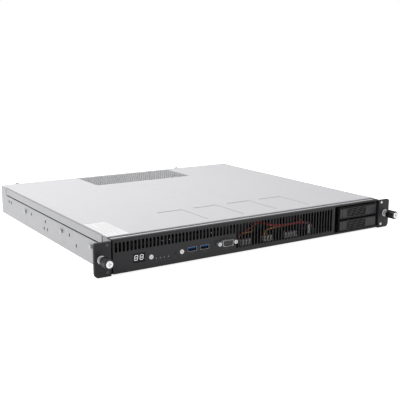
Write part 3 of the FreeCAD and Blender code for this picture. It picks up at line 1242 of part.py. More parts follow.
def expansion_slot():
    """A riser board that stands on the system board and the blank over the slot's opening."""
    across = ("system_left", "system_left + board")
    back = ("case_depth - 4*riser_height/3 - riser_length", "case_depth - 4*riser_height/3")
    as_node("riser_board", block(across, back, (BOARD_TOP, f"{BOARD_TOP} + riser_height")))
    as_node("slot_cover", fused(block(("slot_cover_left + play", "slot_cover_left + slot_cover_width - play"),
                                      (REAR, "case_depth"),
                                      ("slot_cover_low + play", "slot_cover_low + slot_cover_height - play")),
                                block(("slot_cover_left - 3*sheet", "slot_cover_left + slot_cover_width + 3*sheet"),
                                      ("case_depth - 2*sheet", REAR),
                                      ("slot_cover_low - 2*sheet", "slot_cover_low + slot_cover_height + 2*sheet"))))


def power_supply():
    """A folded steel box with its circuit board, mains inlet and a fan at the rear."""
    front = f"({SUPPLY_BACK} - supply_length)"
    across, back, tall = ("supply_left", "supply_right"), (front, SUPPLY_BACK), (SUPPLY_LOW, SUPPLY_HIGH)
    shell = cut(block(across, back, tall),
                block((f"supply_left + sheet", f"supply_right - sheet"),
                      (f"{front} + sheet", f"{SUPPLY_BACK} - sheet"),
                      (f"{SUPPLY_LOW} + sheet", f"{SUPPLY_HIGH} - sheet")),
                rod("fan_bore", "sheet + 2*play", SUPPLY_FAN, f"{SUPPLY_BACK} - sheet - play", SUPPLY_MIDDLE),
                block((f"{INLET} - inlet_width/2 - inlet_wall", f"{INLET} + inlet_width/2 + inlet_wall"),
                      (f"{SUPPLY_BACK} - sheet - play", f"{SUPPLY_BACK} + play"),
                      (f"{SUPPLY_MIDDLE} - inlet_tall/2 - inlet_wall", f"{SUPPLY_MIDDLE} + inlet_tall/2 + inlet_wall")),
                *[block((f"supply_left + {6 + 7 * number}*sheet", f"supply_left + {9 + 7 * number}*sheet"),
                        (f"{front} - play", f"{front} + sheet + play"),
                        (f"{SUPPLY_LOW} + 6*sheet", f"{SUPPLY_HIGH} - 6*sheet")) for number in range(10)])
    as_node("supply_case", shell)
    as_node("supply_board",
            fused(block((f"supply_left + 3*sheet", f"supply_right - 3*sheet"),
                        (f"{front} + 4*sheet", f"{SUPPLY_BACK} - supply_fan_depth - 6*sheet"),
                        (f"{SUPPLY_LOW} + sheet", f"{SUPPLY_LOW} + sheet + board")),
                  block((f"supply_left + supply_width/4", f"supply_left + supply_width*3/5"),
                        (f"{front} + supply_length/4", f"{front} + supply_length/2"),
                        (f"{SUPPLY_LOW} + sheet", f"{SUPPLY_HIGH} - 8*sheet"))))
    back_face = f"({SUPPLY_BACK} - sheet)"
    fan_front = f"({back_face} - supply_fan_depth)"
    middle = f"({SUPPLY_LOW} + supply_height/2)"
    half, bore = "(supply_height/2 - sheet)", "(fan_bore - sheet)"
    as_node("supply_fan_frame", fan_frame(SUPPLY_FAN, middle, fan_front, "supply_fan_depth", half, bore))
    fan_rotor("supply_fan_rotor", SUPPLY_FAN, middle, fan_front, "supply_fan_depth", bore)
    inlet = block((f"{INLET} - inlet_width/2 - inlet_wall", f"{INLET} + inlet_width/2 + inlet_wall"),
                  (f"{back_face} - inlet_depth", SUPPLY_BACK),
                  (f"{SUPPLY_MIDDLE} - inlet_tall/2 - inlet_wall", f"{SUPPLY_MIDDLE} + inlet_tall/2 + inlet_wall"))
    well = block((f"{INLET} - inlet_width/2", f"{INLET} + inlet_width/2"),
                 (f"{back_face} + inlet_wall - inlet_depth", f"{SUPPLY_BACK} + play"),
                 (f"{SUPPLY_MIDDLE} - inlet_tall/2", f"{SUPPLY_MIDDLE} + inlet_tall/2"))
    blades = []
    for step, rise in ((-1, 0), (0, 1), (1, 0)):
        x, z = f"({INLET} + {step}*7*sheet)", f"({SUPPLY_MIDDLE} + ({rise})*4*sheet - 2*sheet)"
        blades.append(block((f"{x} - sheet", f"{x} + sheet"),
                            (f"{back_face} + inlet_wall - inlet_depth", f"{SUPPLY_BACK} - 2*sheet"),
                            (f"{z} - 2*sheet", f"{z} + 2*sheet")))
    as_node("mains_inlet", cut(inlet, well), *blades)


# ---------------------------------------------------------------- the whole server
def main():
    chassis_tray()
    cover_shell()
    cover_screws()
    shoulder_pins()
    front_panel()
    control_pieces()
    ears()
    drive_cage()
    for level, name in enumerate(CARRIERS):
        drive_carrier(level, name)
    case_fans()
    fan_board()
    fan_wires()
    system_board()
    power_cables()
    rear_ports()
    expansion_slot()
    power_supply()
    document.recompute()

    failed = [thing.Name for thing in document.Objects if {"Invalid", "Error"} & set(thing.State)]
    if failed:
        raise RuntimeError(f"features that failed: {failed}")
    for thing in nodes:
        if thing.Shape.isNull() or not thing.Shape.isValid():
            raise RuntimeError(f"{thing.Label} has no valid shape")

    os.makedirs("parts", exist_ok=True)
    for thing in nodes:
        thing.Shape.exportStep(f"parts/{thing.Label}.step")
        print(f"{thing.Label}: {len(thing.Shape.Solids)} solids, {thing.Shape.Volume:.0f} mm3")


main()
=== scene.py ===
"""A 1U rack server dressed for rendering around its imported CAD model.

The sections follow the server as it is put together, sizes in millimetres in the row frame."""
from math import pi, radians, sqrt

import bmesh
import bpy
import numpy as np
from mathutils.geometry import delaunay_2d_cdt
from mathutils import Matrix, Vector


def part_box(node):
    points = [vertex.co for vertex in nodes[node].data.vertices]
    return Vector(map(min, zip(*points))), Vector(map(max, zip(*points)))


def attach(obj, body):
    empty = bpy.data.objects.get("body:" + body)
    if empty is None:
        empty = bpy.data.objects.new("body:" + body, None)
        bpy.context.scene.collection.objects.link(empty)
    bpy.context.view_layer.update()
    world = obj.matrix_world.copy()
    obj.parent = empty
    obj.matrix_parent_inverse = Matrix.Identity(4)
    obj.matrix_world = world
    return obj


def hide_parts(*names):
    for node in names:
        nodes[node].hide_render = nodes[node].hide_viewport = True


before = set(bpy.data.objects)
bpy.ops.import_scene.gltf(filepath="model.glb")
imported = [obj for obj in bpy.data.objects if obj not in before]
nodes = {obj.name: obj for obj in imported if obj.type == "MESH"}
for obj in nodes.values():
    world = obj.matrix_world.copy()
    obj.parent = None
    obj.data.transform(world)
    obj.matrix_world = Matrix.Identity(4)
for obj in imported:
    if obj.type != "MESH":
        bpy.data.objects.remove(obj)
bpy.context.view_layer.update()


# ---- The studio: a plain pale floor under a white sky, one lamp above and a weak broad one in front.
# The camera stands to the left of the server and a little above it.
def linear(code):
    """An sRGB hex colour as the linear RGBA that sockets take."""
    value = np.array([int(code[i:i + 2], 16) for i in (1, 3, 5)]) / 255
    return (*np.where(value <= 0.04045, value / 12.92, ((value + 0.055) / 1.055) ** 2.4), 1.0)


WHITE = linear("#FFFFFF")


def add(tree, kind, inputs=None, **settings):
    """Add one shader node; inputs gives sockets their values or the sockets that feed them."""
    made = tree.nodes.new("ShaderNode" + kind)
    for name, value in settings.items():
        setattr(made, name, value)
    for socket, value in (inputs or {}).items():
        if isinstance(value, bpy.types.NodeSocket):
            tree.links.new(value, made.inputs[socket])
        else:
            made.inputs[socket].default_value = value
    return made


def maths(tree, operation, *values):
    """What one Math node makes of values or sockets."""
    return add(tree, "Math", dict(enumerate(values)), operation=operation).outputs[0]


def blank(name):
    """A material with an empty node tree."""
    material = bpy.data.materials.new(name)
    material.use_nodes = True
    material.node_tree.nodes.clear()
    return material, material.node_tree


def shown(made):
    """Bring a new object into the scene."""
    bpy.context.scene.collection.objects.link(made)
    return made


def seen(tree):
    """1 for the rays of the camera and those that metal and glass send on, 0 for light."""
    path = add(tree, "LightPath").outputs
    either = maths(tree, "MAXIMUM", path["Is Camera Ray"], path["Is Glossy Ray"])
    return maths(tree, "MAXIMUM", either, path["Is Transmission Ray"])


# matt painted board: it sends light back evenly, and what the camera sees of it glows almost to
# white, so that only the server's soft shadow shows
FLOOR_GLOW, SKY_LIGHT = 0.85, 0.29
floor_paint, tree = blank("matt_painted_board")
grain = add(tree, "TexNoise", {"Vector": add(tree, "TexCoord").outputs["Object"], "Scale": 40.0, "Detail": 4.0})
paint = add(tree, "MixRGB", {0: grain.outputs["Fac"], 1: linear("#F0F0F0"), 2: linear("#F4F4F4")})
matt = add(tree, "BsdfDiffuse", {"Color": paint.outputs[0]})
strength = maths(tree, "MULTIPLY", seen(tree), FLOOR_GLOW)
glow = add(tree, "Emission", {"Color": WHITE, "Strength": strength})
both = add(tree, "AddShader", {0: matt.outputs[0], 1: glow.outputs[0]})
add(tree, "OutputMaterial", {"Surface": both.outputs[0]})
floor_mesh = bpy.data.meshes.new("floor")
floor_mesh.from_pydata([(-40, -40, 0), (40, -40, 0), (40, 40, 0), (-40, 40, 0)], [], [(0, 1, 2, 3)])
floor_mesh.materials.append(floor_paint)
shown(bpy.data.objects.new("floor", floor_mesh))

# the sky is full white to the eye but lights the server with less than a third of that
world = bpy.data.worlds.new("white_sky")
world.use_nodes = True
tree = world.node_tree
tree.nodes.clear()
strength = add(tree, "MapRange", {"Value": seen(tree), "To Min": SKY_LIGHT, "To Max": 1.0})
sky = add(tree, "Background", {"Color": WHITE, "Strength": strength.outputs[0]})
add(tree, "OutputWorld", {"Surface": sky.outputs[0]})
bpy.context.scene.world = world

# each lamp's place and size in metres and its power in watts, all aimed at the server
LAMPS = (("top_lamp", (-0.24, 0.36, 1.05), 0.7, 9.0), ("front_lamp", (0.3, -2.4, 1.0), 2.0, 3.0))
for name, place, across, watts in LAMPS:
    lamp = bpy.data.lights.new(name, "AREA")
    lamp.size, lamp.energy = across, watts
    stand = shown(bpy.data.objects.new(name, lamp))
    stand.location = place
    stand.rotation_euler = (-stand.location).to_track_quat("-Z", "Y").to_euler()

camera = shown(bpy.data.objects.new("camera", bpy.data.cameras.new("camera")))
camera.location = (-0.56973, -0.92651, 0.25731)
camera.rotation_euler = (radians(78.257), radians(-0.2228), radians(-33.0156))
camera.data.lens, camera.data.sensor_width = 64.41, 36.0
bpy.context.scene.camera = camera
bpy.context.scene.view_settings.view_transform = "Standard"


# ---- The chassis tray: zinc-coated steel sheet, 1 mm, folded up at the sides and the rear.
# Its zinc shows a faint pale spangle over a fine rolled grain.
def finish(name, slot, tones, roughness, metallic=0.0, grain=0.6, relief=0.01, stretch=(1, 1, 1), **shader):
    """A surface whose colour drifts between two tones over centimetres, with its roughness and
    relief from a noise as fine as grain, in millimetres; stretch makes the grain longer on an axis.
    Other sockets of the surface are named with _ for each space."""
    material, tree = blank(name)
    material["slot"] = slot
    place = add(tree, "TexCoord").outputs["Object"]
    fine_place = add(tree, "Mapping", {"Vector": place, "Scale": [1000 / grain / long for long in stretch]})
    fine = add(tree, "TexNoise", {"Vector": fine_place.outputs[0], "Scale": 1.0, "Detail": 3.0}).outputs["Fac"]
    broad = add(tree, "TexNoise", {"Vector": place, "Scale": 30.0, "Detail": 2.0}).outputs["Fac"]
    drift = maths(tree, "MULTIPLY_ADD", fine, 0.4, maths(tree, "MULTIPLY", broad, 0.6))
    colour = add(tree, "MixRGB", {0: drift, 1: linear(tones[0]), 2: linear(tones[1])})
    rough = add(tree, "MapRange", {"Value": fine, "To Min": roughness * 0.85, "To Max": roughness * 1.15})
    bump = add(tree, "Bump", {"Height": fine, "Distance": relief * 0.001, "Strength": 0.6})
    shader = {socket.replace("_", " "): value for socket, value in shader.items()}
    surface = add(tree, "BsdfPrincipled", {"Base Color": colour.outputs[0], "Roughness": rough.outputs[0],
                                           "Normal": bump.outputs[0], "Metallic": metallic, **shader})
    add(tree, "OutputMaterial", {"Surface": surface.outputs[0]})
    return material


# galvanised steel: satin grey-white zinc, spangle cells 7 mm across one tone apart
galvanised = finish("galvanised_steel", "galvanised_sheet", ("#D6D6D8", "#DADADC"), 0.62, 0.18, 0.5, 0.006)
tree = galvanised.node_tree
cells = add(tree, "TexVoronoi", {"Vector": add(tree, "TexCoord").outputs["Object"], "Scale": 140.0})
faint = maths(tree, "MULTIPLY", cells.outputs["Color"], 0.09)
zinc = tree.nodes["Principled BSDF"].inputs["Base Color"]
spangle = add(tree, "MixRGB", {0: faint, 1: zinc.links[0].from_socket, 2: linear("#B9BBC0")})
tree.links.new(spangle.outputs[0], zinc)


def dress(material, *names, edge=0.0):
    """Give CAD nodes a material and, once their corners are welded, edges broken by edge millimetres."""
    for made in (nodes[name] for name in names):
        for place in made.material_slots:
            place.material = material
        if edge:
            made.modifiers.new("weld", "WELD").merge_threshold = 1e-6
            bevel = made.modifiers.new("broken_edge", "BEVEL")
            bevel.width, bevel.segments = edge * 0.001, 2
            bevel.limit_method, bevel.angle_limit = "ANGLE", radians(40)


dress(galvanised, "chassis_tray")


# ---- The lid: one steel sheet with folded flanges, a rolled front edge, four pads pressed down
# over the fans and a field of punched holes. Two rear tabs go under the finger screws.
def outline(width, height, radius, steps=4):
    """A closed anticlockwise rounded rectangle: each quarter is an arc round its corner's centre."""
    angle = (np.arange(4)[:, None] + np.linspace(0, 1, steps + 1)) * pi / 2
    across, along = np.array([1, -1, -1, 1])[:, None], np.array([1, 1, -1, -1])[:, None]
    return np.stack([across * (width / 2 - radius) + radius * np.cos(angle),
                     along * (height / 2 - radius) + radius * np.sin(angle)], -1).reshape(-1, 2)


def strip(rings, closed=True):
    """Quads between successive lines (lines, ..., points, 3); closed joins each line's ends."""
    index = np.arange(rings[..., 0].size).reshape(rings.shape[:-1])
    low, high = index[:-1], index[1:]
    if closed:
        quads = np.stack([low, np.roll(low, -1, -1), np.roll(high, -1, -1), high], -1)
    else:
        quads = np.stack([low[..., :-1], low[..., 1:], high[..., 1:], high[..., :-1]], -1)
    return rings.reshape(-1, 3), quads.reshape(-1, 4).tolist()


def raised(line, height):
    """A flat line lifted to a height."""
    return np.concatenate([line, np.full((*line.shape[:-1], 1), height, float)], -1)


def capped(rings):
    """A closed solid of quads between closed lines, with a flat face on the first and the last."""
    points, faces = strip(rings)
    count = rings.shape[1]
    return points, faces + [list(range(count))[::-1], list(range(len(points) - count, len(points)))]


def stacked(shape, levels):
    """A closed solid: the line shape(inset) at each (height, inset), going up."""
    return capped(np.array([raised(shape(inset), height) for height, inset in levels]))


def eased(low, high, radius, steps=3):
    """Levels from low to high whose two rims are quarter rounds."""
    turn = np.linspace(0, pi / 2, steps + 1)
    drop, inset = radius * (1 - np.sin(turn)), radius * (1 - np.cos(turn))
    rise = list(zip(low + drop, inset))
    return rise[::-1] + [(low + high - height, gap) for height, gap in rise]


def between(lines, height, up=True):
    """Triangles that fill the first line and leave the others open."""
    starts = np.cumsum([0] + [len(line) for line in lines])
    loops = [list(range(start, end)) for start, end in zip(starts, starts[1:])]
    spots, _, faces = delaunay_2d_cdt([tuple(spot) for spot in np.concatenate(lines)], [], loops, 2, 1e-6)[:3]
    way = 1 if up else -1
    return raised(np.array([tuple(spot) for spot in spots]), height), [list(face)[::way] for face in faces]


def pierced(rim, holes, levels):
    """A plate with holes: rim(inset) and each hole(inset) go up through (height, inset) levels,
    holes widening by the inset where the rim shrinks, and both faces are triangulated."""
    lines = lambda inset: [rim(inset)] + [hole(-inset) for hole in holes]
    heights, insets = zip(*levels)
    stacks = [np.array([raised(line, height) for line, height in zip(same, heights)])
              for same in zip(*[lines(inset) for inset in insets])]
    walls = [strip(stack[::-1] if number else stack) for number, stack in enumerate(stacks)]
    return [between(lines(insets[0]), heights[0], False), between(lines(insets[-1]), heights[-1])] + walls


# for each side of the server, the directions in which a drawing's right, top and height point
SIDES = {"up": ((1, 0, 0), (0, 1, 0), (0, 0, 1)), "front": ((1, 0, 0), (0, 0, 1), (0, -1, 0)),
         "rear": ((-1, 0, 0), (0, 0, 1), (0, 1, 0)), "left": ((0, -1, 0), (0, 0, 1), (-1, 0, 0)),
         "right": ((0, 1, 0), (0, 0, 1), (1, 0, 0))}
FACING = {side: np.array(axes) for side, axes in SIDES.items()}


def turned(shape, centre, facing="up"):
    """A shape drawn in plan, its height turned to a side of the server, moved to a centre."""
    points, faces = shape
    return points @ FACING[facing] + np.asarray(centre, float), faces


def moved(shapes, centre, facing="up"):
    """Several shapes turned and moved as one."""
    return [turned(shape, centre, facing) for shape in shapes]


def rides(made, material, body, replaces):
    """Tell the frame which body an object is part of and what it stands for; the material is not used."""
    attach(made, body)
    if replaces:
        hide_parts(*replaces)


def piece(name, shapes, material, body="chassis", replaces=(), sharp=35):
    """One object of several shapes, welded, with its edges sharp past an angle in degrees."""
    starts = np.cumsum([0] + [len(points) for points, faces in shapes])
    faces = [[int(start) + corner for corner in face] for start, (_, own) in zip(starts, shapes) for face in own]
    mesh = bpy.data.meshes.new(name)
    mesh.from_pydata(np.concatenate([points for points, _ in shapes]) * 0.001, [], faces)
    work = bmesh.new()
    work.from_mesh(mesh)
    bmesh.ops.remove_doubles(work, verts=work.verts, dist=2e-6)
    work.to_mesh(mesh)
    work.free()
    mesh.validate()
    mesh.polygons.foreach_set("use_smooth", np.ones(len(mesh.polygons), bool))
    mesh.set_sharp_from_angle(angle=radians(sharp))
    mesh.materials.append(material)
    made = shown(bpy.data.objects.new(name, mesh))
    rides(made, material, body, replaces)
    made.modifiers.new("flat_faces_stay_flat", "WEIGHTED_NORMAL").keep_sharp = True
    return made


def corners(node):
    """A CAD node's lowest and highest corners in millimetres."""
    low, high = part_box(node)
    return np.array(low) * 1000, np.array(high) * 1000


def bar(low, high, corner=0.3, edge=0.2, facing="up"):
    """A block between two corners, rounded in plan by corner and at both rims by edge."""
    low, high = np.asarray(low, float), np.asarray(high, float)
    size = np.abs(FACING[facing] @ (high - low))
    line = lambda inset: outline(size[0] - 2 * inset, size[1] - 2 * inset, max(corner - inset, 0.02))
    return turned(stacked(line, eased(-size[2] / 2, size[2] / 2, edge)), (low + high) / 2, facing)


def slab(middle, half, along, up, *rounding):
    """A bar that reaches half its width to each side of a middle."""
    return bar((middle - half, along[0], up[0]), (middle + half, along[1], up[1]), *rounding)


low, high = corners("cover_shell")
SHEET, BEND, NOSE, FRONT_FOLD, TAB = 1.0, 1.5, 0.9, 217.85, 7.0
lid_top, lid_front, lid_back = high[2] - 0.12, low[1] + NOSE, 200.7
side, fold, flange_front, flange_back, flange_foot = high[0], high[0] - BEND, -174.0, 176.2, low[2] + 1.3
PAD_MIDDLES, PAD_SIZE, PAD_BACK = (-86.1, -28.7, 28.7, 86.1), (40.4, 68.0), -140.8
PAD_DEPTH, PAD_CORNER, PAD_INSETS = 0.6, 1.6, (0, 0.06, 0.2, 0.34, 0.4)
VENT_SIZE, VENT_BACK, HOLE_PITCH, HOLE_ACROSS, SIN_60 = (182.0, 77.5), 156.0, 4.2, 3.6, sqrt(0.75)
tabs = [(low[0] + high[0]) / 2 for low, high in map(corners, ("cover_screw_left", "cover_screw_right"))]

# the flat skin is cut back where the flanges bend down; it has an outline for each pad and hole
rim = [(side, lid_front), (side, flange_front), (fold, flange_front), (fold, flange_back),
       (side, flange_back), (side, lid_back)]
mirrored = [(-across, along) for across, along in rim[::-1]]
for middle in tabs[::-1]:
    rim += [(middle + TAB, lid_back), (middle - TAB, lid_back)]
rim += mirrored + [(-FRONT_FOLD, lid_front), (FRONT_FOLD, lid_front)]
pads = [[outline(PAD_SIZE[0] - 2 * gap, PAD_SIZE[1] - 2 * gap, PAD_CORNER - gap) + (middle, PAD_BACK)
         for gap in PAD_INSETS] for middle in PAD_MIDDLES]
rows = int(VENT_SIZE[1] / HOLE_PITCH / SIN_60)
row, column = np.mgrid[0:rows, 0:int(VENT_SIZE[0] / HOLE_PITCH) - 1]
middles = np.stack([(column + 0.5 * (row % 2) - column.max() / 2 - 0.25) * HOLE_PITCH,
                    (row - (rows - 1) / 2) * HOLE_PITCH * SIN_60 + VENT_BACK], -1).reshape(-1, 1, 2)
sixth = np.arange(6) * pi / 3 + pi / 6
holes = middles + HOLE_ACROSS / 2 / SIN_60 * np.stack([np.cos(sixth), np.sin(sixth)], -1)
skin = [between([np.array(rim, float)] + [pad[0] for pad in pads] + list(holes), lid_top)]
# each pad is flat inside a wall that falls along half a cosine, coloured darker than the lid as painted shade
drop = PAD_DEPTH * (1 - np.cos(np.linspace(0, pi, 5))) / 2
skin += [(raised(pad[-1], lid_top - PAD_DEPTH), [list(range(len(pad[-1])))]) for pad in pads]
walls = [strip(np.array([raised(line, lid_top - fall) for line, fall in zip(pad, drop)])) for pad in pads]


def folded(across, up, start, end, along):
    """A bent sheet: a profile (across, up) drawn out between start and end; along is the fold's axis."""
    line = np.stack([np.asarray(across, float), np.asarray(up, float)], -1)
    ends = [np.insert(line, along, value, axis=1) for value in (start, end)]
    return strip(np.array(ends), closed=False)


# each bend is a quarter round down to its flange, and the front edge is rolled by half a turn
turn, roll = np.linspace(0, pi / 2, 6), np.linspace(0, pi, 9)
over, fall = BEND * np.sin(turn), BEND * (1 - np.cos(turn))
bends = []
for hand in (1, -1):
    ends = (flange_front, flange_back)[::hand]
    bends.append(folded((fold + over) * hand, lid_top - fall, *ends, along=1))
    skin.append(folded([side * hand, side * hand], [lid_top - BEND, flange_foot], *ends, along=1))
bends.append(folded(np.r_[lid_front - NOSE * np.sin(roll), lid_front + 7.0],
                    np.r_[lid_top - NOSE + NOSE * np.cos(roll), lid_top - 2 * NOSE],
                    -FRONT_FOLD, FRONT_FOLD, along=0))
# the bends are coloured a flat grey and the pad walls a slightly paler one, both darker than the lid as painted
# shade
# the bends' flat grey is painted shade, not a different zinc
bend_shade_zinc = finish("bend_shade_zinc", "galvanised_sheet", ("#A2A2A6", "#AEAEB2"), 0.5, 0.3, 0.5, 0.004)
# the pad walls' darker grey is painted shade
pad_wall_shade_zinc = finish("pad_wall_painted_shade", "galvanised_sheet", ("#B4B4B7", "#BEBEC1"), 0.5, 0.2, 0.5, 0.004)
for name, shapes, zinc, solid in (("lid", skin, galvanised, ("cover_shell",)),
                                  ("lid_pad_walls", walls, pad_wall_shade_zinc, ()), ("lid_bends", bends, bend_shade_zinc, ())):
    made = piece(name, shapes, zinc, "cover", solid)
    wall = made.modifiers.new("sheet", "SOLIDIFY")
    wall.thickness, wall.offset, wall.use_even_offset = 0.00085, -1.0, False
    made.modifiers.move(1, 0)

NOTCH, NOTCH_TOP, TAB_FOOT = 1.8, 39.6, low[2] + 2.1
notch = np.linspace(0, pi, 7)


def tab_line(inset):
    """A tab's outline, open below in a notch with a half-round top."""
    wide, gap, foot, top = TAB - inset, NOTCH + inset, TAB_FOOT + inset, lid_top - BEND
    arch = zip(-gap * np.cos(notch), NOTCH_TOP + gap * np.sin(notch))
    return np.array([(-wide, foot), (-gap, foot), *arch, (gap, foot), (wide, foot), (wide, top), (-wide, top)])


tab_parts, tab_back = [], high[1]
for middle in tabs:
    tab_parts += moved(pierced(tab_line, [], [(-SHEET, 0), (-0.2, 0), (0, 0.2)]), (middle, tab_back, 0), "rear")
    tab_parts.append(folded(np.r_[lid_back - 0.3, tab_back - BEND + over, tab_back - BEND + over[-1] - 0.8],
                            np.r_[lid_top, lid_top - fall, lid_top - BEND], middle + TAB, middle - TAB, along=0))
piece("lid_tabs", tab_parts, galvanised, "cover")

# under the flanges a near-black strip on the step of each side wall is painted shade for the gap there, and a lap of
# the front flange, in the darker bend grey of painted shade, covers the wall between lid and panel
gap_shade_black = finish("gap_painted_shade", "cable_sleeve", ("#101012", "#18181A"), 0.8, 0.0, 0.5, 0.05,
              Specular_IOR_Level=0.1)
GAP_SHADE_AT, GAP_SHADE_FOOT, LAP_AT, LAP_FRONT, LAP_FOOT, LAP_TOP = 217.95, 31.02, 218.05, -196.6, 31.3, 43.1
gap_shade_strips = [slab(GAP_SHADE_AT * hand, 0.1, (flange_front + 0.5, flange_back - 0.5), (GAP_SHADE_FOOT, flange_foot + 0.3),
                0.2, 0.1) for hand in (-1, 1)]
laps = [slab(LAP_AT * hand, 0.2, (LAP_FRONT, flange_front - 0.6), (LAP_FOOT, LAP_TOP), 0.3, 0.1, "right")
        for hand in (-1, 1)]
# these black strips are painted shade for the gap under each flange
piece("side_gap_shades", gap_shade_strips, gap_shade_black)
piece("corner_laps", laps, bend_shade_zinc)

# the label: a blank white polyester sticker, 0.1 mm thick, bright and smooth with a faint painted glow, with ruled
# grey lines
LABEL_LEFT, LABEL_RIGHT, LABEL_FRONT, LABEL_BACK, FILM = -217.2, -188.0, -187.0, -118.0, 0.1
label_white_glow = finish("white_film_painted_glow", "white_plastic", ("#FAFAFB", "#FDFDFD"), 0.4, 0.0, 0.5, 0.002,
                     Emission_Color=WHITE, Emission_Strength=0.03)
ruled_grey = finish("grey_label_print", "white_plastic", ("#C6C6CA", "#D0D0D4"), 0.5, 0.0, 0.5, 0.002)
label = bar((LABEL_LEFT, LABEL_FRONT, lid_top), (LABEL_RIGHT, LABEL_BACK, lid_top + FILM), 1.2, 0.03)
piece("lid_label", [label], label_white_glow, "cover")
# each rule's start and end along the label and its place across it, as shares of the label
RULES = ((0.08, 0.92, 0.62), (0.2, 0.92, 0.45), (0.2, 0.7, 0.3), (0.2, 0.92, 0.75), (0.4, 0.92, 0.88),
         (0.08, 0.92, 0.15))
rules = []
for start, end, across in RULES:
    left = LABEL_LEFT + across * (LABEL_RIGHT - LABEL_LEFT)
    front, back = (LABEL_FRONT + share * (LABEL_BACK - LABEL_FRONT) for share in (start, end))
    rules.append(bar((left, front, lid_top + FILM - 0.02), (left + 0.7, back, lid_top + FILM + 0.02), 0.1, 0.01))
piece("lid_label_rules", rules, ruled_grey, "cover")


# ---- The front panel: a steel plate punched with two rows of slots and the openings of the
# controls and the drive bay, folded back along its top, in matt black powder coat.
def circle(radius, count=24):
    """A closed line: the cosine and sine of even steps round, times the radius."""
    angle = np.arange(count) * 2 * pi / count
    return radius * np.stack([np.cos(angle), np.sin(angle)], -1)


def hole(across, up, width, height=None, corner=None, count=24):
    """A function of the inset for an opening: a rounded rectangle, or a circle when it has no height."""
    if height is None:
        return lambda inset: circle(width - inset, count) + (across, up)
    return lambda inset: outline(width - 2 * inset, height - 2 * inset, max(corner - inset, 0.02), 3) + (across, up)


def window(box, corner, slack=0.0):
    """An opening from its left, right, lower and upper edges, widened by slack."""
    left, right, foot, top = box
    return hole((left + right) / 2, (foot + top) / 2, right - left + slack, top - foot + slack, corner)


# powder coat: a matt charcoal skin with the orange peel of melted powder, 0.8 mm from dimple to dimple
black_steel = finish("black_powder_coat", "black_powder_coat", ("#242427", "#2A2A2D"), 0.55, 0.0, 0.8, 0.03,
                     Specular_IOR_Level=0.35)

low, high = corners("front_panel")
CASE_SIDE, FACE, PANEL, LIP, FOLD_GAP = 218.95, low[1], 1.2, 0.25, 0.2
SLOT_PITCH, SLOT, WIDE_SLOT, SLOT_TOP, SHORT_FOOT, TALL_FOOT = 5.12, 3.2, 3.6, 39.4, 27.1, 7.2
SHORT_SLOTS, TALL_SLOTS, SLOT_FIRST = 34, 33, 5.45 - CASE_SIDE
BAY, DISPLAY = (131.6, 217.7, 3.9, 41.6), (-191.3, -175.4, 11.5, 22.2)
CONTROL_ROW, LAMP_ROW, USB_ROW, VIDEO_ROW = 15.0, 12.2, 16.3, 17.3
POWER, IDENTITY, RESET, VIDEO, JACK = -166.8, -123.5, -133.6, -56.8, 12.5
LAMPS_ACROSS, USB_ACROSS = [-159.7 + 5.6 * i for i in range(4)], (-108.7, -90.2)

openings = []
for first, many, wide, foot in ((0, SHORT_SLOTS, SLOT, SHORT_FOOT),
                                (SHORT_SLOTS, TALL_SLOTS, WIDE_SLOT, TALL_FOOT)):
    openings += [hole(SLOT_FIRST + SLOT_PITCH * i, (SLOT_TOP + foot) / 2, wide, SLOT_TOP - foot, wide / 2 - 0.05)
                 for i in range(first, first + many)]
openings += [window(BAY, 0.8), window(DISPLAY, 0.4, 0.5)]
openings += [hole(middle, CONTROL_ROW, 3.0) for middle in (POWER, IDENTITY)]
openings += [hole(RESET, CONTROL_ROW, 1.3, count=16)]
openings += [hole(middle, LAMP_ROW, 0.85, count=12) for middle in LAMPS_ACROSS]
openings += [hole(middle, USB_ROW, 13.9, 6.2, 0.5) for middle in USB_ACROSS]
openings += [hole(VIDEO, VIDEO_ROW, 16.7, 8.3, 2.0)]
openings += [hole(VIDEO + reach, VIDEO_ROW, 2.75) for reach in (-JACK, JACK)]
panel_wide, panel_tall, panel_up = high[0] - low[0] - 1.2, high[2] - low[2], (low[2] + high[2]) / 2
panel_rim = lambda inset: outline(panel_wide - 2 * inset, panel_tall - 2 * inset, 0.6 - inset) + (0, panel_up)
panel = pierced(panel_rim, openings, [(-PANEL, 0), (-LIP, 0), (-0.08, 0.07), (0, LIP)])
panel = moved(panel, (0, FACE, 0), "front")
panel.append(bar((low[0], FACE + PANEL - FOLD_GAP, high[2] - PANEL), high, 0.3, 0.1))
# a black hook at each end of the fold reaches back over the chassis wall to the lid
HOOK_AT, HOOK_HALF, HOOK_LOW, HOOK_HIGH, HOOK_REACH = 218.1, 0.75, 42.2, 43.45, 12.2
panel += [slab(HOOK_AT * hand, HOOK_HALF, (high[1] - 0.3, FACE + HOOK_REACH), (HOOK_LOW, HOOK_HIGH), 0.3, 0.1)
          for hand in (-1, 1)]
piece("front_panel_plate", panel, black_steel, replaces=("front_panel",))
# its side returns stand in the shade of the ears, coloured near black as painted shade
shade_black_coat = finish("painted_shade_black", "black_powder_coat", ("#08080A", "#0E0E10"), 0.7, 0.0, 0.7, 0.01,
                  Specular_IOR_Level=0.08)
RETURN_AT, RETURN_DEEP = 218.0, 3.9
returns = [bar((RETURN_AT * hand - 0.35, FACE + PANEL - FOLD_GAP, low[2] + 0.2),
               (RETURN_AT * hand + 0.3, FACE + RETURN_DEEP, high[2] - 0.2), 0.2, 0.1) for hand in (-1, 1)]
piece("panel_returns", returns, shade_black_coat)

# printed marks: thin pad-printed ink in a grey that barely stands off the coat
grey_ink = finish("pad_printed_ink", "white_plastic", ("#5A5A5E", "#64646A"), 0.6, 0.0, 0.6, 0.004)
INK = 0.03


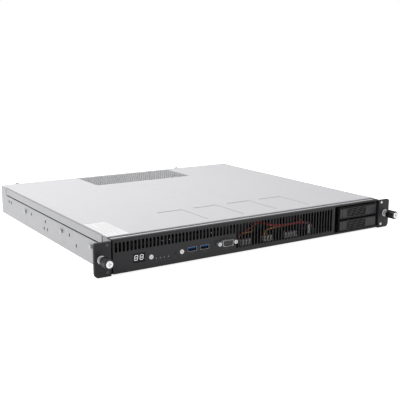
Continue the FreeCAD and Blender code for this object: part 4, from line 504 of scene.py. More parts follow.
def stroke(points, width, closed=False):
    """A flat inked line of even width: each point is moved half the width along the normal of its
    neighbours' chord, to both sides, and the two edges are joined and given the ink's thickness."""
    line = np.asarray(points, float)
    ahead = np.roll(line, -1, 0) - np.roll(line, 1, 0)
    if not closed:
        ahead[0], ahead[-1] = line[1] - line[0], line[-1] - line[-2]
    normal = np.stack([ahead[:, 1], -ahead[:, 0]], -1) / np.linalg.norm(ahead, axis=1)[:, None]
    right, left = line + normal * width / 2, line - normal * width / 2
    rings = [raised(right, 0), raised(right, INK), raised(left, INK), raised(left, 0)]
    if closed:
        return strip(np.array(rings + rings[:1]))
    points, faces = strip(np.array(rings), closed=False)
    starts = np.arange(4) * len(line)
    return points, faces + [starts[[0, 3, 2, 1]].tolist(), (starts + len(line) - 1).tolist()]


# each sign as strokes: the points, the width, and whether the line closes
arc = np.linspace(radians(125), radians(415), 15)
SIGNS = {
    "power": ((np.stack([np.cos(arc), np.sin(arc)], -1) * 0.9, 0.28), ([(0, 0.4), (0, 1.25)], 0.28)),
    "bulb": ((circle(0.62, 12), 0.2, True), ([(-0.35, -1.05), (0.35, -1.05)], 0.22)),
    "pulse": (([(-1.1, 0), (-0.4, 0), (0, 0.8), (0.4, -0.8), (0.7, 0), (1.1, 0)], 0.2),),
    "disk": (([(-0.9, -0.6), (0.9, -0.6), (0.9, 0.6), (-0.9, 0.6)], 0.2, True),
             ([(-0.5, -0.15), (0.5, -0.15)], 0.2)),
    "net": (([(-0.7, -0.8), (-0.7, 0), (0.7, 0), (0.7, -0.8)], 0.2), ([(0, 0), (0, 0.8)], 0.2)),
    "plug": (([(-1.6, 0), (1.2, 0)], 0.2), ([(0.8, 0.45), (1.6, 0), (0.8, -0.45)], 0.2),
             ([(-0.6, 0), (0, 0.6), (0.5, 0.6)], 0.2)),
    "screen": (([(-1.5, -0.8), (1.5, -0.8), (1.5, 0.9), (-1.5, 0.9)], 0.22, True),
               ([(-0.8, -1.3), (0.8, -1.3)], 0.22)),
}
signs = {name: [stroke(*line) for line in lines] for name, lines in SIGNS.items()}
# each mark's sign, its middle across the panel, and its height
marks = [(name, across, 8.4) for name, across in zip(("power", "pulse", "disk", "net"), LAMPS_ACROSS)]
marks += [("net", RESET, 9.6), ("bulb", IDENTITY, 9.4)]
marks += [("plug", middle, 10.4) for middle in USB_ACROSS] + [("screen", VIDEO, 10.2)]
strokes = [turned(shape, (across, FACE, up), "front") for name, across, up in marks for shape in signs[name]]
piece("front_marks", strokes, grey_ink)


# ---- The front controls: a two-digit display behind black glass, two domed push buttons, a sunk
# reset pin and four lamps, all moulded plastic on a dark circuit board behind the panel.
def lathed(profile, count=32):
    """A body of revolution: a circle of the radius at each (radius, height) of the profile; a radius
    of nothing closes the body in a point, any other end is closed by a flat face."""
    points, faces = capped(np.array([raised(circle(radius, count), height) for radius, height in profile]))
    ends = [face for (radius, _), face in zip((profile[0], profile[-1]), faces[-2:]) if radius > 0]
    return points, faces[:-2] + ends


# smoked polycarbonate: a black gloss window over the digits
smoked = finish("smoked_polycarbonate", "display_glass", ("#050506", "#070708"), 0.3, 0.0, 0.5, 0.001,
                Specular_IOR_Level=0.2)
# lit segments: milky light guides that glow a plain white
segments = finish("lit_light_guide", "display_glass", ("#F4F4F6", "#FAFAFC"), 0.5, 0.0, 0.4, 0.002,
                  Emission_Color=linear("#F2F2F5"), Emission_Strength=0.6)
low, high = corners("display_module")
glass = [bar((low[0], FACE + 1.3, low[2]), high, 0.5, 0.2),
         bar((DISPLAY[0] + 0.1, low[1], DISPLAY[2] + 0.1), (DISPLAY[1] - 0.1, FACE + 1.5, DISPLAY[3] - 0.1),
             0.4, 0.15, "front")]
piece("display_window", glass, smoked, replaces=("display_module",))
DIGIT_AT, DIGIT_WIDE, DIGIT_TALL, BAR_WIDE, BAR_GAP, LEAN = 3.7, 4.1, 5.8, 0.65, 0.12, 0.1
# the seven bars of a digit, from corner to corner of a grid three high and two wide
BARS = ((-1, 1, 1, 1), (-1, 0, 1, 0), (-1, -1, 1, -1), (-1, 0, -1, 1), (1, 0, 1, 1), (-1, -1, -1, 0), (1, -1, 1, 0))
display_middle = ((DISPLAY[0] + DISPLAY[1]) / 2, low[1] + 0.01, (DISPLAY[2] + DISPLAY[3]) / 2)
digits = []
for middle in (-DIGIT_AT, DIGIT_AT):
    for ends in BARS:
        start, end = np.reshape(ends, (2, 2)) * (DIGIT_WIDE, DIGIT_TALL) / 2
        way = (end - start) / np.linalg.norm(end - start)
        start, end = start + way * BAR_GAP, end - way * BAR_GAP
        side, tip = np.array([way[1], -way[0]]) * BAR_WIDE / 2, way * BAR_WIDE / 2
        line = np.array([start, start + tip + side, end - tip + side,
                         end, end - tip - side, start + tip - side])
        line[:, 0] += line[:, 1] * LEAN + middle
        digits.append(turned(stacked(lambda inset: line, [(0, 0), (0.08, 0)]), display_middle, "front"))
piece("display_digits", digits, segments)

# button caps: moulded white plastic with a silky shell and a dished face, made brighter by a painted glow
cap_white_glow = finish("satin_white_abs_painted_glow", "button_plastic", ("#F4F4F6", "#FAFAFB"), 0.35, 0.0, 0.5, 0.004,
                   Coat_Weight=0.2, Emission_Color=WHITE, Emission_Strength=0.2)
dark_print = finish("black_pad_print", "black_plastic", ("#1C1C1E", "#242426"), 0.5, 0.0, 0.5, 0.002)
CAP = ((2.9, -3.2), (3.8, -3.2), (3.8, -2.3), (2.9, -2.3), (2.9, -0.45), (2.75, -0.12), (2.4, 0), (1.6, -0.06),
       (0.8, -0.1), (0, -0.11))
for name, sign in (("power_button", "power"), ("identity_button", "bulb")):
    low, high = corners(name)
    middle = (low + high) / 2
    cap = turned(lathed(((CAP[0][0], low[1] - high[1]), *CAP)), (middle[0], low[1], middle[2]), "front")
    piece(name + "_cap", [cap], cap_white_glow, name, (name,), 50)
    piece(name + "_sign", moved(signs[sign], (middle[0], low[1] + 0.09, middle[2]), "front"), dark_print, name)
# reset pin: a plain black moulded rod with a hollow tip
low, high = corners("reset_button")
middle = (low + high) / 2
PIN = ((1.1, -2.2), (2.0, -2.2), (2.0, -1.4), (1.1, -1.4), (1.1, -0.15), (0.95, 0), (0.5, -0.1), (0, -0.12))
dark_cap = finish("black_abs", "button_plastic", ("#141416", "#1B1B1D"), 0.45, 0.0, 0.5, 0.006)
rod = turned(lathed(((PIN[0][0], low[1] - high[1]), *PIN), 20), (middle[0], low[1], middle[2]), "front")
piece("reset_pin", [rod], dark_cap, "reset_button", ("reset_button",))

# lamps: clear epoxy light pipes with rounded ends that look pale grey unlit
lamp_clear = finish("clear_epoxy", "lamp_lens", ("#B9BCC2", "#D2D5DA"), 0.2, 0.0, 0.4, 0.002,
                    Coat_Weight=0.6, Transmission_Weight=0.2)
low, high = corners("indicator_lamps")
dome = np.linspace(0, pi / 2, 5)
pipe = lathed([(0.8, low[1] - high[1]), *zip(0.8 * np.cos(dome), 0.35 * np.sin(dome) - 0.35)], 16)
lenses = [turned(pipe, (across, low[1], LAMP_ROW), "front") for across in LAMPS_ACROSS]
piece("lamp_lenses", lenses, lamp_clear, replaces=("indicator_lamps",))

# the board: woven glass under a black solder mask, seen only as a dark wall behind the slots, and a near-black tab
# behind the first slots that is painted shade; bright tinned screw heads on both catch the light
dark_mask = finish("black_solder_mask", "dark_board", ("#0B0C0D", "#111214"), 0.5, 0.0, 0.7, 0.01,
                   Specular_IOR_Level=0.15)
dress(dark_mask, "control_board")
board_face = corners("control_board")[0][1]
slot_shade_tab = bar((-217.3, board_face, 25.0), (-194.9, board_face + 1.2, 36.5), 0.4, 0.1, "front")
piece("slot_shade_tab", [slot_shade_tab], shade_black_coat)
SCREW_PLACES, SCREW_ROW = (-208.2, -147.0, -137.0, -75.0), 30.9
tin = finish("bright_tin", "socket_metal", ("#D2D3D6", "#DEDFE2"), 0.3, 0.5, 0.6, 0.004)
screw_head = lathed([(1.0, -0.4), *zip(np.cos(dome), 0.5 * np.sin(dome))], 14)
screw_heads = [turned(screw_head, (across, board_face, SCREW_ROW), "front") for across in SCREW_PLACES]
piece("board_screws", screw_heads, tin)


# ---- The front ports: two pressed USB shells with blue tongues, and a video port whose D-shaped
# shell stands out of the panel between two hexagon jack nuts.
def frame_shape(outer, inner, levels):
    """A tube with walls: an outer and an inner line, each a function of the inset, up through levels."""
    rings = [raised(outer(inset), height) for height, inset in levels]
    rings += [raised(inner(-inset), height) for height, inset in levels[::-1]]
    return strip(np.array(rings + rings[:1]))


# nickel: a bright warmish shine on shells and nuts; tinned steel: a duller, greyer one
nickel = finish("bright_nickel", "socket_metal", ("#DADBDE", "#E8E9EB"), 0.3, 0.6, 0.7, 0.004)
tin_plate = finish("tinned_steel", "socket_metal", ("#85868A", "#929397"), 0.35, 0.85, 0.7, 0.004)
# glass-filled nylon with a moulded sheen: a plain strong blue on tongues, black on insulators
blue_nylon = finish("blue_nylon", "blue_plastic", ("#0B5698", "#0F60A6"), 0.4, 0.0, 0.6, 0.006,
                    Specular_IOR_Level=0.2)
black_nylon = finish("black_nylon", "black_plastic", ("#0E0E10", "#151517"), 0.5, 0.0, 0.6, 0.01)
low, high = corners("usb_shells")
tongue_front = corners("usb_tongues")[0][1]
USB_WIDE, USB_TALL, USB_WALL = 13.6, 5.9, 0.8
can = frame_shape(hole(0, 0, USB_WIDE, USB_TALL, 0.5), hole(0, 0, USB_WIDE - USB_WALL, USB_TALL - USB_WALL, 0.3),
                  [(low[1] - high[1], 0), (-0.15, 0), (0, 0.12)])
shells, tongues, contacts = [], [], []
for middle in USB_ACROSS:
    shells += [turned(can, (middle, low[1], USB_ROW), "front"),
               slab(middle, 6.7, (high[1] - 0.5, high[1]), (low[2] + 0.1, high[2] - 0.1))]
    shells += [slab(spring, 1.1, (low[1] + 1.6, low[1] + 4.2), (low[2] + 0.4, low[2] + 0.75), 0.3, 0.1)
               for spring in (middle - 3.4, middle + 3.4)]
    tongues.append(slab(middle, 5.6, (tongue_front + 0.6, high[1] - 0.6), (USB_ROW + 0.25, USB_ROW + 2.15),
                        0.4, 0.25, "front"))
    contacts += [slab(middle + reach, 0.55, (tongue_front + 1.4, tongue_front + 7), (USB_ROW + 0.12, USB_ROW + 0.32),
                      0.1, 0.05) for reach in (-3.5, -1, 1, 3.5)]
piece("usb_cans", shells, tin_plate, replaces=("usb_shells",))
piece("usb_tongue_pair", tongues, blue_nylon, replaces=("usb_tongues",))
piece("usb_contacts", contacts, tin)


def d_shape(width, height, slope=0.75, radius=1.6):
    """A function of the inset for a D shell: a rounded rectangle whose sides lean in towards its foot."""
    def line(inset):
        made = outline(width - 2 * inset, height - 2 * inset, radius - inset, 4)
        return made * np.stack([1 - (0.5 - made[:, 1] / height) * slope / width * 2, np.ones(len(made))], -1)
    return line


NUT_WIDE, NUT_BORE, PIN_STEP, PIN_ROWS = 2.6 / SIN_60, 1.3, 2.29, ((-1.9, 0.0), (0, 1.15), (1.9, 0.0))


def video_socket(at, facing, back, nut_back, core_back, stand):
    """The shell and jack nuts, the insulator and the pin holes of a video socket that stands out of
    a plate at a place; the backs are where each begins behind that plate."""
    put = lambda shape, across=0.0, up=0.0: turned(shape, (at[0] + across, at[1], at[2] + up), facing)
    shell = frame_shape(d_shape(16.4, 8.0), d_shape(15.4, 7.0), [(back, 0), (stand - 0.3, 0), (stand, 0.2)])
    nut = frame_shape(lambda inset: circle(NUT_WIDE - inset, 6), lambda inset: circle(NUT_BORE - inset, 6),
                      [(nut_back, 0), (4.0, 0), (4.5, 0.35)])
    pin = stacked(lambda inset: circle(0.42 - inset, 8), [(stand - 1.0, 0), (stand - 0.94, 0.05)])
    return ([put(shell), put(nut, -JACK), put(nut, JACK)],
            [put(stacked(d_shape(15.0, 6.6), eased(core_back, stand - 1.0, 0.3)))],
            [put(pin, i * PIN_STEP + shift, up) for up, shift in PIN_ROWS for i in range(-2, 3)])


low, high = corners("video_port")
back = FACE - high[1]
shell, core, pins = video_socket((VIDEO, FACE, VIDEO_ROW), "front", back, back, back + 1.3, FACE - low[1])
flange = stacked(lambda inset: outline(18.6 - 2 * inset, 9.8 - 2 * inset, 1.5 - inset),
                 [(back, 0), (back + 1.2, 0), (back + 1.4, 0.2)])
stud = stacked(lambda inset: circle(1.35 - inset, 12), [(back, 0), (2.6, 0)])
shell += [turned(shape, (VIDEO + reach, FACE, VIDEO_ROW), "front")
          for shape, reach in ((flange, 0), (stud, -JACK), (stud, JACK))]
piece("video_shell", shell, nickel, replaces=("video_port",))
piece("video_insulator", core, black_nylon)
piece("video_sockets", pins, dark_print)


# ---- The ears: two black powder-coated plates on folded steel brackets, each held by two small cross-head screws, bright nickel on the right and a dark grey on the left that is painted shade.
def plate_line(low, high, radii, steps=5):
    """A function of the inset for a rectangle whose corners, anticlockwise from the upper right,
    are quarter arcs of their own radii."""
    def line(inset):
        runs = []
        for turn, radius, across, along in zip(range(4), radii, (high[0], low[0], low[0], high[0]),
                                               (high[1], high[1], low[1], low[1])):
            radius, angle = max(radius - inset, 0.02), (turn + np.linspace(0, 1, steps + 1)) * pi / 2
            inward = np.array([(-1, 1, 1, -1)[turn], (-1, -1, 1, 1)[turn]])
            runs.append(np.array([across, along]) + inward * (radius + inset)
                        + radius * np.stack([np.cos(angle), np.sin(angle)], -1))
        return np.concatenate(runs)
    return line


def cross_line(reach, half):
    """The twelve corners of a cross with arms of a reach and half a width: three at each arm's
    right-hand side, turned by a quarter three times."""
    arm, quarter = np.array([(reach, -half), (reach, half), (half, half)], float), np.array([(0, 1), (-1, 0)])
    return np.concatenate([arm @ np.linalg.matrix_power(quarter, turns) for turns in range(4)])


def cross_head(radius, levels, reach, half, depth):
    """A turned screw head, going up through (height, inset) levels, with a cross driven into it."""
    rings = np.array([raised(circle(radius - inset), height) for height, inset in levels])
    top, cross = levels[-1][0], cross_line(reach, half)
    floor = raised(cross * 0.72, top - depth)
    return [strip(rings), between([rings[-1][:, :2], cross], top),
            strip(np.array([floor, raised(cross, top)])[::-1]), (floor, [list(range(12))]),
            (rings[0], [list(range(len(rings[0])))[::-1]])]


# small screws: nickel that mirrors the room, and a dark grey copy of it that is painted shade, also used for the
# drive lid screws
nickel_screw = finish("bright_nickel_screw", "nickel_steel", ("#D6D6D8", "#E6E6E8"), 0.25, 0.85, 0.6, 0.003)
dark_screw_shade = finish("screw_painted_shade", "nickel_steel", ("#4A4A4E", "#5A5A5E"), 0.3, 0.6, 0.6, 0.004)
EAR_INNER, THUMB_ACROSS, THUMB_UP, EAR_SCREWS = 219.7, 232.55, 21.6, ((225.0, 5.7), (225.0, 38.3))
# each ear's side, its corners' radii anticlockwise from the upper right, and its screws
EARS = (("left", -1, (0.6, 3.2, 5.5, 0.6), dark_screw_shade), ("right", 1, (3.2, 0.6, 0.6, 5.5), nickel_screw))
low, high = corners("ears")
thick, ear_face = high[1] - low[1], low[1]
head = cross_head(2.0, [(-thick, 0.9), (-0.05, 0.9), (0, 0), (0.35, 0.05), (0.7, 0.45), (0.9, 1.0)],
                  0.85, 0.2, 0.5)
levels = [(-thick, 0.3), (-thick + 0.3, 0), (-0.45, 0), (-0.15, 0.15), (0, 0.45)]
plates = []
for name, hand, radii, screw in EARS:
    left, right = sorted((EAR_INNER * hand, high[0] * hand))
    ear_line = plate_line((left, low[2]), (right, high[2]), radii)
    holes = [hole(THUMB_ACROSS * hand, THUMB_UP, 4.95, count=32)]
    holes += [hole(across * hand, up, 1.35, count=16) for across, up in EAR_SCREWS]
    plates += moved(pierced(ear_line, holes, levels), (0, ear_face, 0), "front")
    heads = [shape for across, up in EAR_SCREWS
             for shape in moved(head, (across * hand, ear_face, up), "front")]
    piece(f"ear_screws_{name}", heads, screw, replaces=("ear_screws",))
piece("ear_plates", plates, black_steel, replaces=("ears",))
dress(black_steel, "ear_brackets", edge=0.25)


# ---- The thumbscrews: a nickel screw in a knurled black knob, that slides on a grooved ferrule
# pressed into the ear and is kept from falling out by a snap ring.
def knurled(profile, teeth, depth):
    """Rings at each (radius, height, cut) of a profile, with four points to a tooth: where the cut
    is 1, two of the four are sunk by the knurl's depth."""
    step = np.arange(teeth * 4)
    angle, sunk = step * 2 * pi / (teeth * 4), (step % 4 > 1) * depth
    return np.array([raised(((radius - cut * sunk) * [np.cos(angle), np.sin(angle)]).T, height)
                     for radius, height, cut in profile])


# zinc plating: nearly white and soft; anodised aluminium: a deep black with a dull sheen; nickel: a mirror
zinc_bright = finish("bright_zinc_plating", "nickel_steel", ("#F0F0F2", "#F8F8F9"), 0.28, 0.5, 0.6, 0.003)
black_aluminium = finish("black_anodised_aluminium", "black_plastic", ("#0B0B0D", "#131315"), 0.32, 0.2,
                         0.5, 0.006)
bright = finish("nickel_plated_steel", "nickel_steel", ("#CFCFD2", "#E2E2E4"), 0.22, 0.85, 0.7, 0.003)
spring_steel = finish("oiled_spring_steel", "spring_steel", ("#9A9B9F", "#ACADB0"), 0.35, 0.8, 0.6, 0.004)
# radius and distance ahead of the ear, and for the knob whether the knurl is cut there
KNURLS, KNURL_DEEP, BORE, SEAT = 30, 0.32, 5.1, 4.9
KNOB_RINGS = ((BORE, 7.1, 0), (5.6, 7.1, 0), (6.0, 7.5, 0), (6.0, 8.2, 0), (5.98, 8.25, 1), (5.98, 19.4, 1),
              (6.0, 19.45, 0), (6.0, 20.5, 0), (5.6, 21.0, 0), (SEAT, 21.0, 0), (SEAT, 19.6, 0), (2.7, 19.6, 0),
              (2.7, 13.6, 0), (BORE, 13.6, 0), (BORE, 7.1, 0))
BODY, GROOVE = 4.7, 4.42
FERRULE_RINGS = ((4.0, -3.8), (4.9, -3.8), (4.9, 0.02), (5.25, 0.02), (5.25, 0.6), (5.1, 0.8), (4.75, 0.85),
                 (BODY, 2.4), (GROOVE, 2.5), (GROOVE, 3.2), (BODY, 3.3), (BODY, 4.4), (GROOVE, 4.5), (GROOVE, 5.2),
                 (BODY, 5.3), (BODY, 6.6), (4.5, 7.0), (4.2, 7.0), (4.0, 6.7), (4.0, -3.8))
SHANK = ((2.42, -3.8), (2.42, 5.0), (1.8, 5.05), (1.8, 5.95), (2.42, 6.0), (2.42, 19.65))
ferrule = strip(np.array([raised(circle(radius, 40), height) for radius, height in FERRULE_RINGS]))
knob = strip(knurled(KNOB_RINGS, KNURLS, KNURL_DEEP))
shaft = [lathed(SHANK, 24)] + cross_head(4.45, [(19.65, 0), (21.5, 0), (21.85, 0.12), (22.1, 0.5)], 2.3, 0.45, 1.4)
axes = {"left": (-THUMB_ACROSS, ear_face, THUMB_UP), "right": (THUMB_ACROSS, ear_face, THUMB_UP)}
ferrules = [turned(ferrule, at, "front") for at in axes.values()]
piece("ferrule_pair", ferrules, zinc_bright, replaces=("thumbscrew_ferrules",))
for name, at in axes.items():
    piece(f"knurled_knob_{name}", [turned(knob, at, "front")], black_aluminium, f"thumbscrew_{name}",
          (f"knob_{name}",), 25)
for name, at in axes.items():
    screw = f"thumbscrew_{name}"
    piece(screw + "_shaft", moved(shaft, at, "front"), bright, screw, (screw,))
dress(spring_steel, "snap_ring_left", "snap_ring_right", edge=0.1)


# ---- The drive bay: a black steel cage with a backplane and two plastic carriers; each carrier
# has a press button on its left and a lever, pierced with wavy slots, that swings out.
carrier_plastic = finish("glass_filled_polycarbonate", "carrier_plastic", ("#2E2E31", "#343437"), 0.42, 0.0,
                         0.6, 0.02, Specular_IOR_Level=0.4)
# paint sprayed on steel: a plain deep black; cast aluminium: a grainy satin grey
cage_paint = finish("black_painted_steel", "black_powder_coat", ("#0E0E10", "#151517"), 0.5, 0.0, 0.7, 0.01,
                    Specular_IOR_Level=0.2)
drive_skin = finish("cast_aluminium_housing", "drive_metal", ("#8F9196", "#A2A4A8"), 0.4, 0.8, 0.9, 0.02)
dress(cage_paint, "drive_cage", edge=0.2)
dress(dark_mask, "drive_backplane")
dress(cage_paint, "carrier_lower", "carrier_upper", edge=0.2)
dress(drive_skin, "drive_lower", "drive_upper", edge=0.4)
WAVE, WAVE_RISE, WAVE_SHIFT, LOUVRE, LOUVRES, LOUVRE_WIDE = 11.0, 0.35, 1.5, 2.4, 5, 1.4
GRILLE, SKIN_DEEP, BUTTON_SPLIT, BUTTON_PLAY = (155.6, 193.8), 1.4, 4.2, 0.15


def wavy_slot(middle, start, end, width, shift):
    """A function of the inset for a slot along a sine wave, whose width swells and narrows as
    the square of a cosine of twice the length does, with pointed ends."""
    def line(inset):
        across = np.linspace(start + inset, end - inset, 37)
        phase = 2 * pi * (across - start - shift) / WAVE
        half = width / 2 * (0.86 + 0.14 * np.cos(phase / 2) ** 2) - inset
        half[[0, -1]] = 0.02
        centre = middle + WAVE_RISE * np.sin(phase)
        return np.array([np.r_[across, across[::-1]], np.r_[centre - half, (centre + half)[::-1]]]).T
    return line


for level in ("lower", "upper"):
    # the lever is a pierced skin, a round hinge end and, behind the skin, a rim of four bars
    low, high = corners(f"lever_{level}")
    middle, thick = (low[2] + high[2]) / 2, high[1] - low[1]
    hinge, back = high[0] - thick / 2, low[1] + SKIN_DEEP - 0.2
    slots = [wavy_slot(middle + (i - (LOUVRES - 1) / 2) * LOUVRE, *GRILLE, LOUVRE_WIDE, i * WAVE_SHIFT)
             for i in range(LOUVRES)]
    arm = pierced(plate_line((low[0], low[2]), (hinge + 0.6, high[2]), (0.3, 0.4, 0.4, 0.3)), slots,
                  [(-SKIN_DEEP, 0.1), (-0.4, 0), (-0.1, 0.04), (0, 0.14)])
    barrel = lathed(((thick / 2 - 0.15, low[2]), (thick / 2, low[2] + 0.15), (thick / 2, high[2] - 0.15),
                     (thick / 2 - 0.15, high[2])))
    lever = moved(arm, (0, low[1], 0), "front")
    lever += [bar((low[0] + 0.2, back, low[2] + 0.1), (GRILLE[0] - 1.2, high[1], high[2] - 0.1), 0.4, 0.2, "front"),
              bar((GRILLE[1] + 1.2, back, low[2] + 0.1), (hinge + 0.5, high[1], high[2] - 0.1), 0.3, 0.1, "front")]
    lever += [bar((GRILLE[0] - 1.4, back, up), (GRILLE[1] + 1.4, high[1] - 0.2, up + 0.45), 0.2, 0.1, "front")
              for up in (low[2] + 0.05, high[2] - 0.5)]
    lever.append(turned(barrel, (hinge, low[1] + thick / 2, 0)))
    piece(f"lever_{level}_louvres", lever, carrier_plastic, f"lever_{level}", (f"lever_{level}",))
    low, high = corners(f"release_{level}")
    split = low[0] + BUTTON_SPLIT
    button = [bar((low[0] + BUTTON_PLAY, low[1], low[2]), (split, high[1], high[2]), 0.5, 0.35, "front"),
              bar((split + 0.45, low[1], low[2]), (high[0] - BUTTON_PLAY, high[1], high[2]), 0.5, 0.35, "front"),
              bar((split - 0.6, low[1] + 0.8, low[2] + 0.3), (split + 1.0, high[1] - 0.3, high[2] - 0.3),
                  0.2, 0.1, "front")]
    piece(f"release_{level}_button", button, carrier_plastic, f"release_{level}", (f"release_{level}",))

# each drive's lid: a blank film label with ruled lines over a round dish, and four cross-head screws
sheet = stacked(plate_line((-25.0, -18.0), (25.0, 18.0), (1.5,) * 4), [(-0.02, 0), (FILM, 0)])
rules = [stroke([(-21.0, across), (9.0 + 6.0 * (row % 2), across)], 0.5)
         for row, across in enumerate(np.arange(-13.0, 14.0, 4.4))]
dish = lathed(((15.0, -0.02), (15.0, 0.35), (14.4, 0.6), (13.0, 0.6), (12.4, 0.3), (12.4, 0.05)), 48)
head = cross_head(1.8, [(-0.02, 0), (0.3, 0.05), (0.55, 0.5)], 0.8, 0.2, 0.4)
for level in ("lower", "upper"):
    low, high = corners(f"drive_{level}")
    across, along, top, carrier = *((low + high) / 2)[:2], high[2], f"carrier_{level}"
    # the drive labels share the sticker's white with its faint painted glow
    piece(f"drive_label_{level}", [turned(sheet, (across, along + 18.0, top))], label_white_glow, carrier)
    lines = moved(rules, (across, along + 18.0, top + FILM))
    piece(f"drive_label_rules_{level}", lines, ruled_grey, carrier)
    piece(f"drive_dish_{level}", [turned(dish, (across, along - 22.0, top))], drive_skin, carrier)
    heads = [shape for x in (-31.0, 31.0) for y in (-45.0, 45.0)
             for shape in moved(head, (across + x, along + y, top))]
    piece(f"drive_screws_{level}", heads, dark_screw_shade, carrier)


# ---- The case fans: four 40 mm square frames of black moulded plastic in a holder, each with a
# rotor of seven curved blades on a round hub.
fan_plastic = finish("black_pbt", "black_plastic", ("#0F0F11", "#161618"), 0.45, 0.0, 0.6, 0.01)
dress(fan_plastic, "fan_frames", "fan_holder", "supply_fan_frame")
BLADES, SWEEP, LEAN_BACK, BLADE, FAN_UP = 7, radians(46), radians(-14), 0.9, 21.0


def fan_blade(number, inner, outer, length, steps=(7, 9)):
    """One blade: at each radius a closed line runs down its face and back up the other, turned
    about the axis by the sweep times the way along it, and by the lean times the way outwards."""
    out, down = np.linspace(0, 1, steps[0]), np.linspace(0, 1, steps[1])
    path = np.r_[down, down[::-1]]
    swell = np.sin(pi * np.clip(path, 0.04, 0.96)) ** 0.5
    thick = np.r_[np.ones(steps[1]), -np.ones(steps[1])] * BLADE / 2 * swell
    radius = (inner + out * (outer - inner))[:, None]
    angle = 2 * pi * number / BLADES + SWEEP * path ** 1.15 + LEAN_BACK * out[:, None] ** 2 + thick / radius
    return capped(np.stack([radius * np.cos(angle), radius * np.sin(angle), -length * path + 0 * radius], -1))


def rotor(node, middle, outer, hub, name, body):
    """Blades and a cup-shaped hub about a middle (across, up), as deep as the CAD rotor."""
    low, high = corners(node)
    length = high[1] - low[1]
    cup = lathed(((0, 0), (hub - 2.2, 0), (hub - 0.6, -0.4), (hub, -1.4), (hub, -length + 0.8),
                  (hub - 1.2, -length + 0.4)))
    blades = moved([fan_blade(number, hub - 0.6, outer, length - 3.0) for number in range(BLADES)], (0, 0, -1.2))
    piece(name, moved([cup] + blades, (middle[0], low[1], middle[1]), "front"), fan_plastic, body, (node,), 40)


for number, middle in enumerate(PAD_MIDDLES, 1):
    rotor(f"fan_rotor_{number}", (middle, FAN_UP), 18.1, 9.5, f"fan_blades_{number}", f"rotor_{number}")

# the small board under the grille, its headers with their plugs in natural nylon, a milky pale
# plastic, or in black, and a hexagon steel post with a blue-white zinc plating
natural_nylon = finish("natural_nylon", "white_plastic", ("#D2D2CE", "#DEDEDA"), 0.5, 0.0, 0.6, 0.01)
zinc_plate = finish("zinc_plated_steel", "nickel_steel", ("#E2E2E4", "#EEEEF0"), 0.35, 0.2, 0.5, 0.003)
dress(dark_mask, "fan_board")
fan_board, board_back = corners("fan_board")
low, high = corners("fan_headers")
# each header's middle from the board's left end, and its width
NATURAL_HEADERS, BLACK_HEADERS = ((28.5, 19.0), (66.0, 17.5), (106.0, 22.0)), ((5.5, 10.2), (147.0, 10.2))
for name, nylon, row in (("fan_plugs", natural_nylon, NATURAL_HEADERS),
                         ("spare_plugs", black_nylon, BLACK_HEADERS)):
    headers = []
    for middle, wide in row:
        middle, half = fan_board[0] + middle, wide / 2
        headers += [slab(middle, half, (low[1], high[1]), (low[2], low[2] + 3.4)),
                    slab(middle, half - 0.8, (low[1] + 1.2, high[1] - 0.6), (low[2] + 3.0, high[2] - 2.0)),
                    slab(middle, half - 0.5, (low[1] + 0.2, high[1] - 0.4), (high[2] - 2.6, high[2]))]
        headers += [slab(rib, 0.45, (low[1] - 0.3, low[1] + 0.5), (low[2] + 0.6, high[2] - 0.4), 0.2, 0.15)
                    for rib in np.arange(middle - half + 2.0, middle + half - 1.0, 2.54)]
    piece(name, headers, nylon, replaces=("fan_headers",))
post_foot, post_top = 5.6, board_back[2]
post = stacked(lambda inset: circle(1.9 - inset, 6), [(post_foot, 0), (post_top - 0.3, 0), (post_top + 0.02, 0.3)])
washer = lathed(((2.6, post_foot), (2.6, post_foot + 0.8), (2.2, post_foot + 1.0)), 20)
piece("spacer_post", moved([post, washer], (fan_board[0] + 139.0, fan_board[1] + 3.0, 0)), zinc_plate)


# ---- The wires and cables, all held inside the case: pairs of stranded copper in coloured PVC from
# each header to the fan holder, and two thick cables in braided sleeves from the power supply.
PVC = {"red": ("#BE1620", "#CE222A"), "amber": ("#D79A10", "#E3A91F"), "orange": ("#D2521A", "#DE6026"),
       "black": ("#141416", "#1C1C1E")}
pvc = {name: finish(f"{name}_pvc", "wire_sleeve", tones, 0.4, 0.0, 0.6, 0.006, Coat_Weight=0.2)
       for name, tones in PVC.items()}
# routes in millimetres from each header up and back to the holder: across, behind the panel, up
ROUTES = (((-28.5, 14.5, 13.1), (-28.5, 14.5, 17.8), (-21, 15, 20.6), (-10, 15.5, 21.4), (-1, 17, 20.2),
           (8, 31, 24), (5, 44, 32)),
          ((14, 14.5, 13.1), (14, 14.5, 17.8), (22, 16.5, 20.3), (42, 17, 21.4), (66, 16, 22.2), (82, 17, 23.2),
           (92, 36, 22), (103, 43.5, 26), (103, 44, 36)),
          ((99, 14.5, 13.1), (99, 14.5, 18.5), (85, 14, 22.6), (66, 14, 23.0), (49, 14, 23.2), (32, 14.3, 24.2),
           (20, 16, 27.6), (14, 40, 29), (12, 44, 37)),
          ((-42, 14.5, 13.1), (-42, 14.5, 18), (-46, 20, 22), (-55, 32, 24), (-55, 44, 24)))
# the first cable's second wire rises higher than its first
RISING = ((-28.5, 14.5, 13.1), (-29.5, 14.5, 17.8), (-20, 15, 21), (-9, 15.5, 26), (4, 16, 32), (9, 31, 34),
          (5, 44, 32))
SLEEVES = (("amber", "red"), ("orange", "amber"), ("red", "red"), ("black", "red"))
BESIDE, WIRE, SHRINK = np.array((1.2, -1.6, 1.5)), 0.8, 2.1


def wire(name, points, radius, material, replaces=()):
    """A round wire along a smooth curve that the route's points pull on."""
    curve = bpy.data.curves.new(name, "CURVE")
    curve.dimensions, curve.use_fill_caps = "3D", True
    curve.bevel_depth, curve.bevel_resolution, curve.resolution_u = radius * 0.001, 3, 8
    line = curve.splines.new("NURBS")
    line.points.add(len(points) - 1)
    line.points.foreach_set("co", np.c_[np.asarray(points, float) * 0.001, np.ones(len(points))].ravel())
    line.order_u, line.use_endpoint_u = 3, True
    curve.materials.append(material)
    rides(shown(bpy.data.objects.new(name, curve)), material, "chassis", replaces)


